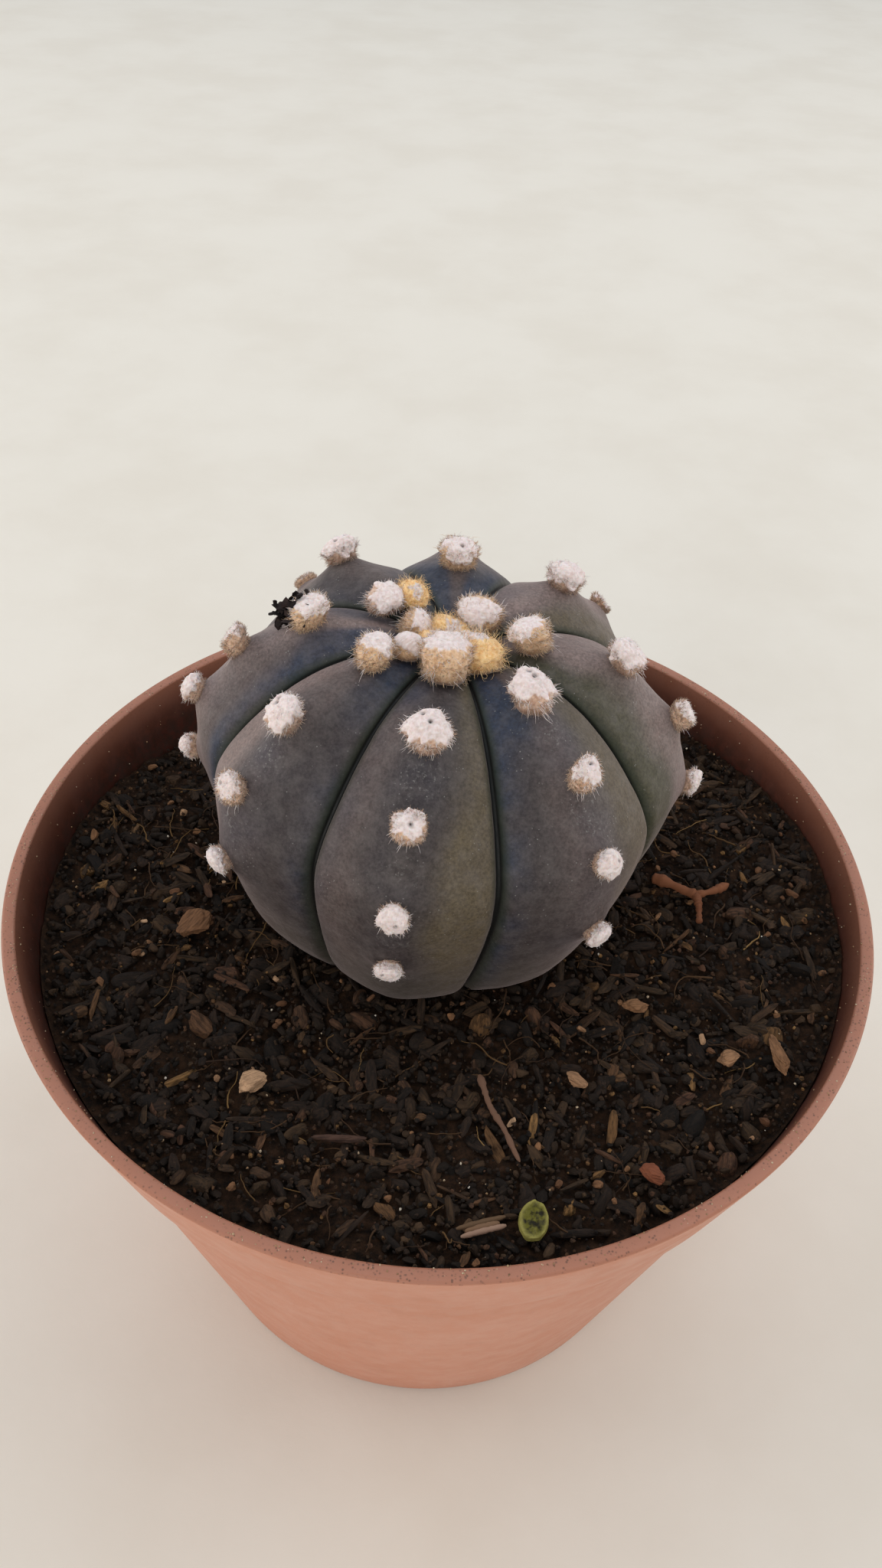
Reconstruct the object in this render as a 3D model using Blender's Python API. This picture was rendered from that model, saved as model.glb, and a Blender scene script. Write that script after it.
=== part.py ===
"""A round eight-ribbed star cactus in a moulded plastic nursery pot. Metres, +Z up.

The origin is the centre of the pot's foot, on the surface that the pot stands on. The pot is one
moulding. The potting mix fills it and has a socket in which the plant's root and lower stem
stand. A wool tuft sits on every areole, and loose bark, twigs and a seed leaf lie on the mix.
"""

import math
import random
from collections import namedtuple

import bmesh
import bpy
import numpy as np
from mathutils import Matrix, Vector

# Pot
POT_HEIGHT = 0.0770
RIM_RADIUS = 0.05515
LIP_WIDTH = 0.0017
COLLAR_HEIGHT = 0.0139
COLLAR_BASE_RADIUS = 0.0520
SHOULDER_RADIUS = 0.0511
BASE_RADIUS = 0.0387
WALL = 0.0014
FLOOR_THICKNESS = 0.0016
FOOT_HEIGHT = 0.0015
FOOT_WIDTH = 0.0032
EDGE_ROUND = 0.0006
FOOT_ROUND = 0.0008
CENTRE_DRAIN_RADIUS = 0.0040
DRAIN_RADIUS = 0.0035
DRAIN_PITCH_RADIUS = 0.0235
DRAIN_COUNT = 8

# Potting mix, from the pot's rim down to its surface at the pot's centre
MIX_BELOW_RIM = 0.0088
MIX_SLOPE = 0.022
MIX_EDGE_RISE = 0.0040
MIX_BACK_FALL = 0.10
MIX_BACK_START = 0.0120
MIX_HOLLOW = 0.0016
MIX_HOLLOW_CENTRE = (-0.036, 0.034)
MIX_HOLLOW_RADIUS = 0.014

# Plant
STEM_RADIUS = 0.0303
STEM_HEIGHT = 0.0403
ROOT_DEPTH = 0.0280
STEM_OFFSET = (-0.0023, 0.0070)
STEM_LEAN = math.radians(3.3)
CROWN_FOLD = 0.33
WAIST_FOLD = 0.05
FOLD_DROP = 0.21
CREST_ROUND = 0.22
CREASE_DEPTH = 0.0011
CREASE_WIDTH = 0.0012
CREASE_FADE = 0.0060

# Wool
WOOL_RADIUS_TOP = 0.0025
WOOL_RADIUS_LOW = 0.0015
WOOL_HEIGHT_SHARE = 1.2
CROWN_WOOL_HEIGHT_SHARE = 1.15
WOOL_BELT_SHARE = 1.15
WOOL_DOME = ((0.86, 0.0), (1.0, 0.38), (0.66, 0.86))

# Fits and mesh fineness
GAP = 0.0003
SOCKET_GAP = 0.0006
POT_SEGMENTS = 64
CORNER_STEPS = 2
STEM_ROWS = 21
ROOT_ROWS = 6
MIX_ROWS = 5
WOOL_SEGMENTS = 8
DRAIN_SEGMENTS = 16
CURVE_STEPS = 24
CLOUD_COLUMNS = 180
CLOUD_ROWS = 91
CONTACT_STEPS = 30
WALL_STEPS = 4
ROD_SIDES = 6

# Radius and height along a rib's crest, as shares of the stem's radius and height, then along
# the buried root, as shares of the stem's radius and the root's depth.
CREST_OUTLINE = (
    (0.0, 0.94),
    (0.35, 1.0),
    (0.69, 0.94),
    (0.94, 0.73),
    (1.0, 0.53),
    (0.89, 0.20),
    (0.74, -0.015),
)
ROOT_OUTLINE = ((0.46, -0.30), (0.20, -0.55), (0.085, -0.85), (0.0, -1.0))

Rib = namedtuple("Rib", "name azimuth first_areole areole_pitch areoles")
CrownTuft = namedtuple("CrownTuft", "name azimuth distance radius")
Chip = namedtuple("Chip", "name x y length width thickness heading finish")

# Azimuths are degrees from the front (-Y) towards +X. Areoles are distances along the crest.
RIBS = (
    Rib("a", -7.2, 0.0186, 0.0094, 4),
    Rib("b", 38.2, 0.0146, 0.0098, 4),
    Rib("c", 87.4, 0.0203, 0.0103, 3),
    Rib("d", 135.2, 0.0189, 0.0108, 3),
    Rib("e", 180.6, 0.0144, 0.0102, 4),
    Rib("f", 222.4, 0.0221, 0.0108, 3),
    Rib("g", 270.2, 0.0174, 0.0090, 4),
    Rib("h", 309.6, 0.0234, 0.0097, 3),
)
CROWN_TUFTS = (
    CrownTuft("front", -8.0, 0.0081, 0.0027),
    CrownTuft("golden_right", 35.0, 0.0062, 0.0021),
    CrownTuft("white_tip", 25.0, 0.0027, 0.0011),
    CrownTuft("right", 84.0, 0.0097, 0.0022),
    CrownTuft("back_right", 139.0, 0.0056, 0.0023),
    CrownTuft("golden_centre", 221.0, 0.0019, 0.0018),
    CrownTuft("golden_back", 225.0, 0.0086, 0.0015),
    CrownTuft("back_left", 248.0, 0.0101, 0.0019),
    CrownTuft("left", 264.0, 0.0055, 0.0018),
    CrownTuft("shell", 308.0, 0.0077, 0.0017),
    CrownTuft("front_left", 308.0, 0.0119, 0.0020),
    CrownTuft("golden_left", 315.0, 0.0044, 0.0012),
)
FLOWER_RADIUS = 0.0013
FLOWER_HEIGHT = 0.0042
FLOWER_TURN = math.radians(42)

CHIPS = (
    Chip("green_seed_leaf", 0.0118, -0.0460, 0.0050, 0.0042, 0.0010, 80.0, "seed_leaf"),
    Chip("straw_sliver", 0.0064, -0.0467, 0.0054, 0.0017, 0.0010, 18.0, "straw"),
    Chip("pale_bark_chip", -0.0205, -0.0306, 0.0041, 0.0034, 0.0022, 30.0, "pale_chip"),
    Chip("brown_bark_chip", -0.0314, -0.0075, 0.0052, 0.0046, 0.0022, 60.0, "bark"),
    Chip("brown_splinter", -0.0102, -0.0368, 0.0072, 0.0010, 0.0009, 3.0, "bark"),
    Chip("terracotta_chip", 0.0248, -0.0401, 0.0030, 0.0021, 0.0013, 160.0, "clay_chip"),
    Chip("tan_stone", 0.0350, -0.0247, 0.0031, 0.0022, 0.0016, 25.0, "pale_chip"),
    Chip("long_tan_chip", 0.0410, -0.0239, 0.0058, 0.0021, 0.0012, 105.0, "pale_chip"),
    Chip("tan_chip_front", 0.0172, -0.0276, 0.0030, 0.0021, 0.0013, 150.0, "pale_chip"),
    Chip("tan_chip_near_stem", 0.0249, -0.0169, 0.0036, 0.0024, 0.0014, 10.0, "pale_chip"),
)
TWIG_RADIUS = 0.00040
TWIG_ROUTE = ((0.0059, -0.0273), (0.0070, -0.0311), (0.0089, -0.0348), (0.0105, -0.0386))
ROOTLET_RADIUS = 0.00065
ROOTLET_STEM = (
    (0.0288, 0.0046),
    (0.0318, 0.0031),
    (0.0345, 0.0014),
    (0.0366, 0.0020),
    (0.0389, 0.0034),
)
ROOTLET_FORK = ((0.0344, 0.0019), (0.0345, -0.0008), (0.0343, -0.0031))
FORK_SHARE = 0.8
ROD_END_SHARE = 0.6
CHIP_ROUGHNESS = 0.13

COLOURS = {
    "pot_plastic": ((0.42, 0.19, 0.13), 0.55),
    "potting_mix": ((0.02, 0.012, 0.008), 0.95),
    "cactus_skin": ((0.075, 0.065, 0.06), 0.60),
    "wool": ((0.62, 0.55, 0.48), 0.95),
    "golden_wool": ((0.60, 0.36, 0.12), 0.95),
    "dried_flower": ((0.02, 0.015, 0.013), 0.90),
    "bark": ((0.10, 0.05, 0.03), 0.90),
    "pale_chip": ((0.35, 0.22, 0.13), 0.85),
    "clay_chip": ((0.28, 0.10, 0.06), 0.85),
    "straw": ((0.45, 0.30, 0.17), 0.80),
    "seed_leaf": ((0.16, 0.19, 0.05), 0.60),
}


def clear_scene():
    for item in list(bpy.data.objects):
        bpy.data.objects.remove(item, do_unlink=True)


def finish_named(name):
    """The material of this name, made on first use."""
    found = bpy.data.materials.get(name)
    if found:
        return found
    colour, roughness = COLOURS[name]
    made = bpy.data.materials.new(name)
    made.use_nodes = True
    shader = made.node_tree.nodes["Principled BSDF"]
    shader.inputs["Base Color"].default_value = (*colour, 1.0)
    shader.inputs["Roughness"].default_value = roughness
    shader.inputs["Metallic"].default_value = 0.0
    return made


def solid_from(name, shell, finish, parent, smooth_below=math.radians(40)):
    """One object from a bmesh, with its faces turned outwards and its round parts smooth."""
    bmesh.ops.recalc_face_normals(shell, faces=shell.faces)
    if shell.calc_volume(signed=True) < 0:
        bmesh.ops.reverse_faces(shell, faces=shell.faces)
    mesh = bpy.data.meshes.new(name)
    shell.to_mesh(mesh)
    shell.free()
    mesh.materials.append(finish_named(finish))
    mesh.shade_smooth()
    mesh.set_sharp_from_angle(angle=smooth_below)
    made = bpy.data.objects.new(name, mesh)
    made.parent = parent
    bpy.context.scene.collection.objects.link(made)
    return made


def skinned(rings, closed=False):
    """A bmesh through rings of points in order. A ring of one point is a pole."""
    shell = bmesh.new()
    rows = [[shell.verts.new(point) for point in ring] for ring in rings]
    pairs = list(zip(rows, rows[1:]))
    if closed:
        pairs.append((rows[-1], rows[0]))
    for low, high in pairs:
        count = max(len(low), len(high))
        for i in range(count):
            j = (i + 1) % count
            corners = [low[i % len(low)], low[j % len(low)], high[j % len(high)], high[i % len(high)]]
            shell.faces.new(list(dict.fromkeys(corners)))
    return shell


def rounded(corners):
    """A closed outline of (radius, height) points from corners, each (radius, height, rounding)."""
    outline = []
    for i, (r, z, rounding) in enumerate(corners):
        here = Vector((r, z))
        back = (Vector(corners[i - 1][:2]) - here).normalized()
        ahead = (Vector(corners[(i + 1) % len(corners)][:2]) - here).normalized()
        if rounding == 0.0:
            outline.append(here)
            continue
        half = back.angle(ahead) / 2
        centre = here + (back + ahead).normalized() * (rounding / math.sin(half))
        start = here + back * (rounding / math.tan(half)) - centre
        turn = start.angle_signed(here + ahead * (rounding / math.tan(half)) - centre)
        for step in range(CORNER_STEPS + 1):
            outline.append(centre + Matrix.Rotation(-turn * step / CORNER_STEPS, 2) @ start)
    return outline


def circle(radius, z, count, centre=(0.0, 0.0)):
    angles = [2 * math.pi * i / count for i in range(count)]
    x, y = centre
    return [Vector((x + radius * math.cos(a), y + radius * math.sin(a), z)) for a in angles]


# The pot

COLLAR_BASE = POT_HEIGHT - COLLAR_HEIGHT
LEDGE_TOP = COLLAR_BASE + WALL
FLOOR_TOP = FOOT_HEIGHT + FLOOR_THICKNESS


def wall_radius(z):
    """Inner radius of the tapered wall below the collar."""
    return BASE_RADIUS + (SHOULDER_RADIUS - BASE_RADIUS) * z / COLLAR_BASE - WALL


def collar_radius(z):
    """Inner radius of the collar at height z, from its ledge up to the lip."""
    low = COLLAR_BASE_RADIUS - WALL
    return low + (RIM_RADIUS - LIP_WIDTH - low) * (z - LEDGE_TOP) / (POT_HEIGHT - LEDGE_TOP)


def make_pot(parent):
    corners = (
        (CENTRE_DRAIN_RADIUS, FOOT_HEIGHT, 0.0),
        (BASE_RADIUS - FOOT_WIDTH, FOOT_HEIGHT, 0.0),
        (BASE_RADIUS - FOOT_WIDTH, 0.0, EDGE_ROUND),
        (BASE_RADIUS, 0.0, FOOT_ROUND),
        (SHOULDER_RADIUS, COLLAR_BASE, EDGE_ROUND),
        (COLLAR_BASE_RADIUS, COLLAR_BASE, EDGE_ROUND),
        (RIM_RADIUS, POT_HEIGHT, EDGE_ROUND),
        (RIM_RADIUS - LIP_WIDTH, POT_HEIGHT, EDGE_ROUND),
        (collar_radius(LEDGE_TOP), LEDGE_TOP, 0.0),
        (wall_radius(LEDGE_TOP), LEDGE_TOP, 0.0),
        (wall_radius(FLOOR_TOP), FLOOR_TOP, 0.0),
        (CENTRE_DRAIN_RADIUS, FLOOR_TOP, 0.0),
    )
    rings = [circle(point.x, point.y, POT_SEGMENTS) for point in rounded(corners)]
    pot = solid_from("pot", skinned(rings, closed=True), "pot_plastic", parent)
    cutters = bmesh.new()
    for i in range(DRAIN_COUNT):
        turn = 2 * math.pi * (i + 0.5) / DRAIN_COUNT
        place = Matrix.Translation(
            (DRAIN_PITCH_RADIUS * math.cos(turn), DRAIN_PITCH_RADIUS * math.sin(turn), FLOOR_TOP / 2)
        )
        bmesh.ops.create_cone(
            cutters,
            cap_ends=True,
            segments=DRAIN_SEGMENTS,
            radius1=DRAIN_RADIUS,
            radius2=DRAIN_RADIUS,
            depth=FLOOR_TOP * 2,
            matrix=place,
        )
    cutter = solid_from("drain_cutter", cutters, "pot_plastic", parent)
    cutter.hide_render = True
    cutter.display_type = "WIRE"
    cut = pot.modifiers.new("drain_holes", "BOOLEAN")
    cut.operation = "DIFFERENCE"
    cut.object = cutter


# The plant: one body, from its crown down to the tip of its root


def smooth_curve(points, steps):
    """Points of a Catmull-Rom curve through the given ones, mirrored in the axis at its first end."""
    ends = [Vector((-points[1][0], points[1][1]))] + [Vector(p) for p in points] + [Vector(points[-1])]
    curve = []
    for a, b, c, d in zip(ends, ends[1:], ends[2:], ends[3:]):
        for step in range(steps):
            t = step / steps
            square = (a * 2 - b * 5 + c * 4 - d) * (t * t / 2)
            cube = (b * 3 - a - c * 3 + d) * (t**3 / 2)
            curve.append(b + (c - a) * (t / 2) + square + cube)
    curve.append(ends[-1])
    return curve


def crest_curve():
    """(distance along the crest, radius, height above the mix) as three arrays."""
    stem = [(STEM_RADIUS * r, STEM_HEIGHT * z) for r, z in CREST_OUTLINE]
    root = [(STEM_RADIUS * r, ROOT_DEPTH * z) for r, z in ROOT_OUTLINE]
    curve = np.array([tuple(p) for p in smooth_curve(stem + root, CURVE_STEPS)])
    steps = np.hypot(*np.diff(curve, axis=0).T)
    return np.concatenate([[0.0], np.cumsum(steps)]), curve[:, 0], curve[:, 1]


CREST_ARC, CREST_RADIUS, CREST_HEIGHT = crest_curve()
ROOT_END = float(CREST_ARC[-1])
WAIST_ARC = float(CREST_ARC[int(np.argmax(CREST_RADIUS))])
WAIST_HEIGHT = float(CREST_HEIGHT[int(np.argmax(CREST_RADIUS))])
MIX_ARC = float(CREST_ARC[int(np.argmax(CREST_HEIGHT < 0.0))])


def flank_share(azimuth):
    """0 on a rib's crest and 1 in the groove beside it, and the groove's distance in radians."""
    crests = [rib.azimuth for rib in RIBS]
    turned = (azimuth - crests[0]) % 360 + crests[0]
    after = crests[1:] + [crests[0] + 360]
    low, high = next(pair for pair in zip(crests, after) if turned <= pair[1])
    half = (high - low) / 2
    share = min(turned - low, high - turned) / half
    return share, math.radians(half * (1 - share))


def leant(x, y, z):
    """A point of the upright plant, leant over its foot on the mix."""
    foot = Vector((*STEM_OFFSET, mix_height(*STEM_OFFSET)))
    return foot + Matrix.Rotation(STEM_LEAN, 3, "Y") @ Vector((x, y, z))


def stem_point(azimuth, arc):
    """The skin's point at this azimuth and distance from the crown, in world coordinates."""
    radius = float(np.interp(arc, CREST_ARC, CREST_RADIUS))
    height = float(np.interp(arc, CREST_ARC, CREST_HEIGHT))
    share, to_groove = flank_share(azimuth)
    buried = min(max((arc - MIX_ARC) / CREASE_FADE, 0.0), 1.0)
    rise = math.cos(math.pi / 2 * min(arc / WAIST_ARC, 1.0)) ** 2
    fold = (WAIST_FOLD + (CROWN_FOLD - WAIST_FOLD) * rise) * (1 - buried)
    fold *= (math.hypot(share, CREST_ROUND) - CREST_ROUND) / (math.hypot(1, CREST_ROUND) - CREST_ROUND)
    crease = CREASE_DEPTH * math.exp(-((to_groove * radius / CREASE_WIDTH) ** 2)) * (1 - buried)
    crease *= min(radius / STEM_RADIUS * 4, 1.0)
    r = radius * (1 - fold) - crease
    z = height - fold * max(height - WAIST_HEIGHT, 0.0) * FOLD_DROP
    return leant(r * math.sin(math.radians(azimuth)), -r * math.cos(math.radians(azimuth)), z)


def crest_frame(azimuth, arc, step=0.0004):
    """A point as far out as a crest would be here, with its outward normal and the way down."""
    ends = np.array([max(arc - step, 0.0), arc + step])
    radii = np.interp(ends, CREST_ARC, CREST_RADIUS)
    heights = np.interp(ends, CREST_ARC, CREST_HEIGHT)
    r, z = float(radii.mean()), float(heights.mean())
    out, fall = float(radii[1] - radii[0]), float(heights[1] - heights[0])
    along_x, along_y = math.sin(math.radians(azimuth)), -math.cos(math.radians(azimuth))
    lean = Matrix.Rotation(STEM_LEAN, 3, "Y")
    normal = lean @ Vector((-fall * along_x, -fall * along_y, out)).normalized()
    down = lean @ Vector((out * along_x, out * along_y, fall)).normalized()
    return leant(r * along_x, r * along_y, z), normal, down


def columns():
    """Azimuths of the mesh's columns, closer together beside each groove."""
    crests = [rib.azimuth for rib in RIBS]
    found = []
    for low, high in zip(crests, crests[1:] + [crests[0] + 360]):
        half = (high - low) / 2
        found += [low + half * share for share in (0.0, 0.35, 0.70, 0.93, 1.0)]
        found += [high - half * share for share in (0.93, 0.70, 0.35)]
    return found


def root_arcs():
    """Distances along the crest of the buried rows, from just under the mix to above the tip."""
    return [MIX_ARC + (ROOT_END - MIX_ARC) * (row + 1) / (ROOT_ROWS + 1) for row in range(ROOT_ROWS)]


def make_plant(parent):
    arcs = [MIX_ARC * (row + 1) / STEM_ROWS for row in range(STEM_ROWS)] + root_arcs()
    rings = [[stem_point(azimuth, arc) for azimuth in columns()] for arc in arcs]
    rings = [[stem_point(0.0, 0.0)]] + rings + [[stem_point(0.0, ROOT_END)]]
    solid_from("cactus", skinned(rings), "cactus_skin", parent)


# The potting mix


def mix_height(x, y):
    """Height of the mix's surface: higher at the right and at the wall, lower at the back."""
    level = POT_HEIGHT - MIX_BELOW_RIM + MIX_SLOPE * x
    level += MIX_EDGE_RISE * (x * x + y * y) / RIM_RADIUS**2
    level -= MIX_BACK_FALL * max(y - MIX_BACK_START, 0.0)
    away = math.hypot(x - MIX_HOLLOW_CENTRE[0], y - MIX_HOLLOW_CENTRE[1]) / MIX_HOLLOW_RADIUS
    return level - MIX_HOLLOW * math.exp(-away * away)


def contact_arc(azimuth):
    """How far along the skin its surface meets the mix at this azimuth."""
    low, high = WAIST_ARC, ROOT_END
    for _ in range(CONTACT_STEPS):
        middle = (low + high) / 2
        point = stem_point(azimuth, middle)
        if point.z > mix_height(point.x, point.y):
            low = middle
        else:
            high = middle
    return low


def socket_point(azimuth, arc):
    """A point of the mix's socket, straight outwards from the skin's point."""
    turn = math.radians(azimuth)
    return stem_point(azimuth, arc) + Vector((math.sin(turn), -math.cos(turn), 0.0)) * SOCKET_GAP


def wall_point(azimuth):
    """Where the mix's surface meets the pot's wall, one gap clear of it."""
    turn = math.radians(azimuth)
    radius = collar_radius(POT_HEIGHT - MIX_BELOW_RIM) - GAP
    for _ in range(WALL_STEPS):
        z = mix_height(radius * math.sin(turn), -radius * math.cos(turn))
        radius = collar_radius(z) - GAP
    return Vector((radius * math.sin(turn), -radius * math.cos(turn), z))


def make_mix(parent):
    around = columns()
    contacts = [contact_arc(azimuth) for azimuth in around]
    bottom = stem_point(0.0, ROOT_END) - Vector((0.0, 0.0, SOCKET_GAP))
    rings = [[bottom]]
    for arc in reversed(root_arcs()):
        rings.append([socket_point(azimuth, arc) for azimuth in around])
    rings.append([socket_point(azimuth, max(arc + GAP, MIX_ARC)) for azimuth, arc in zip(around, contacts)])
    inner = [socket_point(azimuth, arc) for azimuth, arc in zip(around, contacts)]
    outer = [wall_point(azimuth) for azimuth in around]
    for row in range(MIX_ROWS + 1):
        ring = [near.lerp(far, row / MIX_ROWS) for near, far in zip(inner, outer)]
        rings.append([Vector((p.x, p.y, mix_height(p.x, p.y))) for p in ring])
    side = (
        (collar_radius(LEDGE_TOP) - GAP, LEDGE_TOP + GAP),
        (wall_radius(LEDGE_TOP) - GAP, LEDGE_TOP + GAP),
        (wall_radius(FLOOR_TOP) - GAP, FLOOR_TOP + GAP),
    )
    for radius, z in side:
        turns = [math.radians(azimuth) for azimuth in around]
        rings.append([Vector((radius * math.sin(t), -radius * math.cos(t), z)) for t in turns])
    rings.append([Vector((0.0, 0.0, FLOOR_TOP + GAP))])
    solid_from("potting_mix", skinned(rings), "potting_mix", parent)


# Wool, and the dried flower on it


def skin_cloud():
    """Points all over the skin above the mix, as an array."""
    azimuths = [360 * i / CLOUD_COLUMNS for i in range(CLOUD_COLUMNS)]
    arcs = [MIX_ARC * i / (CLOUD_ROWS - 1) for i in range(CLOUD_ROWS)]
    return np.array([stem_point(azimuth, arc) for arc in arcs for azimuth in azimuths])


def make_tuft(name, azimuth, arc, radius, height, finish, parent, cloud):
    """A domed pad whose flat foot clears the highest skin under it by one gap."""
    here, normal, down = crest_frame(azimuth, arc)
    across = normal.cross(down)
    offsets = cloud - np.array(here)
    out = offsets @ np.array(normal)
    aside = np.sqrt(np.maximum((offsets**2).sum(axis=1) - out**2, 0.0))
    lift = float(out[aside < radius * WOOL_BELT_SHARE].max())
    seat = here + normal * (lift + GAP)
    turns = [2 * math.pi * i / WOOL_SEGMENTS for i in range(WOOL_SEGMENTS)]
    rings = [[seat]]
    for reach, rise in WOOL_DOME:
        middle = seat + normal * (height * rise)
        out = radius * reach
        rings.append([middle + (down * math.cos(t) + across * math.sin(t)) * out for t in turns])
    rings.append([seat + normal * height])
    solid_from(name, skinned(rings), finish, parent)


def wool_radius(arc):
    """Tufts get smaller down the rib."""
    return WOOL_RADIUS_TOP + (WOOL_RADIUS_LOW - WOOL_RADIUS_TOP) * min(arc / MIX_ARC, 1.0)


def make_wool(parent, cloud):
    for tuft in CROWN_TUFTS:
        finish = "golden_wool" if tuft.name.startswith("golden") else "wool"
        height = tuft.radius * CROWN_WOOL_HEIGHT_SHARE
        name = "crown_wool_" + tuft.name
        make_tuft(name, tuft.azimuth, tuft.distance, tuft.radius, height, finish, parent, cloud)
    for rib in RIBS:
        for i in range(rib.areoles):
            arc = rib.first_areole + rib.areole_pitch * i
            radius = wool_radius(arc)
            height = radius * WOOL_HEIGHT_SHARE
            name = f"wool_{rib.name}{i + 1}"
            make_tuft(name, rib.azimuth, arc, radius, height, "wool", parent, cloud)


def make_flower(parent, cloud):
    """The shrivelled flower stands beside the first tuft of the left rib, outwards and back."""
    rib = next(rib for rib in RIBS if rib.name == "g")
    apart = wool_radius(rib.first_areole) + FLOWER_RADIUS + GAP
    arc = rib.first_areole + apart * math.cos(FLOWER_TURN)
    azimuth = rib.azimuth - math.degrees(apart * math.sin(FLOWER_TURN) / arc)
    make_tuft("dried_flower", azimuth, arc, FLOWER_RADIUS, FLOWER_HEIGHT, "dried_flower", parent, cloud)


# Loose pieces on the mix


def lifted(shell):
    """Moves a piece so that its lowest place is one gap above the mix."""
    lift = max(mix_height(v.co.x, v.co.y) + GAP - v.co.z for v in shell.verts)
    bmesh.ops.translate(shell, vec=(0.0, 0.0, lift), verts=shell.verts)
    return shell


def make_chip(chip, parent, seed):
    """A rough-edged flat chip, made from a ball with its points pushed about."""
    chance = random.Random(seed)
    shell = bmesh.new()
    bmesh.ops.create_icosphere(shell, subdivisions=2, radius=0.5)
    for vertex in shell.verts:
        vertex.co *= 1 + chance.uniform(-CHIP_ROUGHNESS, CHIP_ROUGHNESS)
    bmesh.ops.scale(shell, vec=(chip.length, chip.width, chip.thickness), verts=shell.verts)
    bmesh.ops.rotate(shell, matrix=Matrix.Rotation(math.radians(chip.heading), 3, "Z"), verts=shell.verts)
    bmesh.ops.translate(shell, vec=(chip.x, chip.y, mix_height(chip.x, chip.y)), verts=shell.verts)
    solid_from(chip.name, lifted(shell), chip.finish, parent)


def rod_shell(route, radius):
    """A rod along the mix, tapered at its ends."""
    rings = []
    count = len(route)
    for i, (x, y) in enumerate(route):
        ahead = Vector(route[min(i + 1, count - 1)]) - Vector(route[max(i - 1, 0)])
        side = Vector((-ahead.y, ahead.x, 0.0)).normalized()
        size = radius * (ROD_END_SHARE if i in (0, count - 1) else 1.0)
        centre = Vector((x, y, mix_height(x, y) + radius))
        up = Vector((0.0, 0.0, 1.0))
        turns = [2 * math.pi * k / ROD_SIDES for k in range(ROD_SIDES)]
        rings.append([centre + (side * math.cos(t) + up * math.sin(t)) * size for t in turns])
    shell = skinned(rings)
    bmesh.ops.holes_fill(shell, edges=[edge for edge in shell.edges if edge.is_boundary])
    return shell


def make_twigs(parent):
    solid_from("thin_twig", lifted(rod_shell(TWIG_ROUTE, TWIG_RADIUS)), "bark", parent)
    shell = rod_shell(ROOTLET_STEM, ROOTLET_RADIUS)
    rootlet = solid_from("forked_rootlet", lifted(shell), "bark", parent)
    fork_shell = rod_shell(ROOTLET_FORK, ROOTLET_RADIUS * FORK_SHARE)
    fork = solid_from("rootlet_fork", lifted(fork_shell), "bark", parent)
    fork.hide_render = True
    fork.display_type = "WIRE"
    join = rootlet.modifiers.new("fork", "BOOLEAN")
    join.operation = "UNION"
    join.object = fork


def main():
    clear_scene()
    root = bpy.data.objects.new("potted_cactus", None)
    bpy.context.scene.collection.objects.link(root)
    make_pot(root)
    make_plant(root)
    make_mix(root)
    cloud = skin_cloud()
    make_wool(root, cloud)
    make_flower(root, cloud)
    for seed, chip in enumerate(CHIPS, start=1):
        make_chip(chip, root, seed)
    make_twigs(root)


main()
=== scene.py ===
"""The look of the potted star cactus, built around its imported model. Metres, +Z up."""

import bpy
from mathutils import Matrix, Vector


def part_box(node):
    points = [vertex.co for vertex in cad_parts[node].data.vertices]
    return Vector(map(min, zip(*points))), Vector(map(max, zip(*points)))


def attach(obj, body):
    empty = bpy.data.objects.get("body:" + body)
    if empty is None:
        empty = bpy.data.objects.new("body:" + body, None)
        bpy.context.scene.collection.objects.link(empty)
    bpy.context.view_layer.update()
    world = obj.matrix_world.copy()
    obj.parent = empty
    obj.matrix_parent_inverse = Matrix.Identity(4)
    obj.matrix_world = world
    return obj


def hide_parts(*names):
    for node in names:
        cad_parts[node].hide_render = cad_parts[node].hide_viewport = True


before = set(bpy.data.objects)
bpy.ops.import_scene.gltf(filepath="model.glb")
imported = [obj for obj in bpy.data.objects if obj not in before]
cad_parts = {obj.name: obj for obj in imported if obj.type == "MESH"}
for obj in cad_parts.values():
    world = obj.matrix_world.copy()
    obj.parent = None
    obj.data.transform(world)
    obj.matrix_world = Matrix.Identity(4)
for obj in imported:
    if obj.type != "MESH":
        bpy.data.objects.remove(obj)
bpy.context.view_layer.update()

import functools
import itertools
import logging
import math
from collections import defaultdict
from collections.abc import Sequence
from dataclasses import dataclass, field
from enum import Enum

import bmesh
import bpy
import numpy as np
from mathutils import Matrix, Quaternion, Vector

LOG = logging.getLogger("potted_cactus")
BODY = "root"
MM = 0.001

Colour = str
Array = np.ndarray
Range = tuple[float, float]
Stops = tuple[tuple[float, Colour], ...]

# A display colour's curve: straight up to its knee, then a power of the shifted share.
COLOUR_KNEE = 0.04045
COLOUR_SLOPE = 12.92
COLOUR_SHIFT = 0.055
COLOUR_POWER = 2.4

# Odd numbers that stir a lattice cell's place and the seed into a value that looks random.
CELL_STIRS = (73856093, 19349663, 83492791)
SEED_STIR = 2654435
LAST_STIR = 1274126177
SEED_SHIFT = 7.31

# Where a colour mixing node keeps its two colours and its result.
FIRST_COLOUR = 6
SECOND_COLOUR = 7
MIXED_COLOUR = 2


def paint(colour: Colour) -> tuple[float, float, float, float]:
    """A display colour such as "#5A5350" as the linear colour that a shader takes.

    Args:
        colour: Six hexadecimal digits after a hash sign.

    Returns:
        Linear red, green, blue and an alpha of 1.
    """
    shares = [int(colour[i : i + 2], 16) / 255 for i in (1, 3, 5)]
    curved = [((share + COLOUR_SHIFT) / (1 + COLOUR_SHIFT)) ** COLOUR_POWER for share in shares]
    linear = [s / COLOUR_SLOPE if s <= COLOUR_KNEE else curve for s, curve in zip(shares, curved)]
    return (*linear, 1.0)


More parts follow.
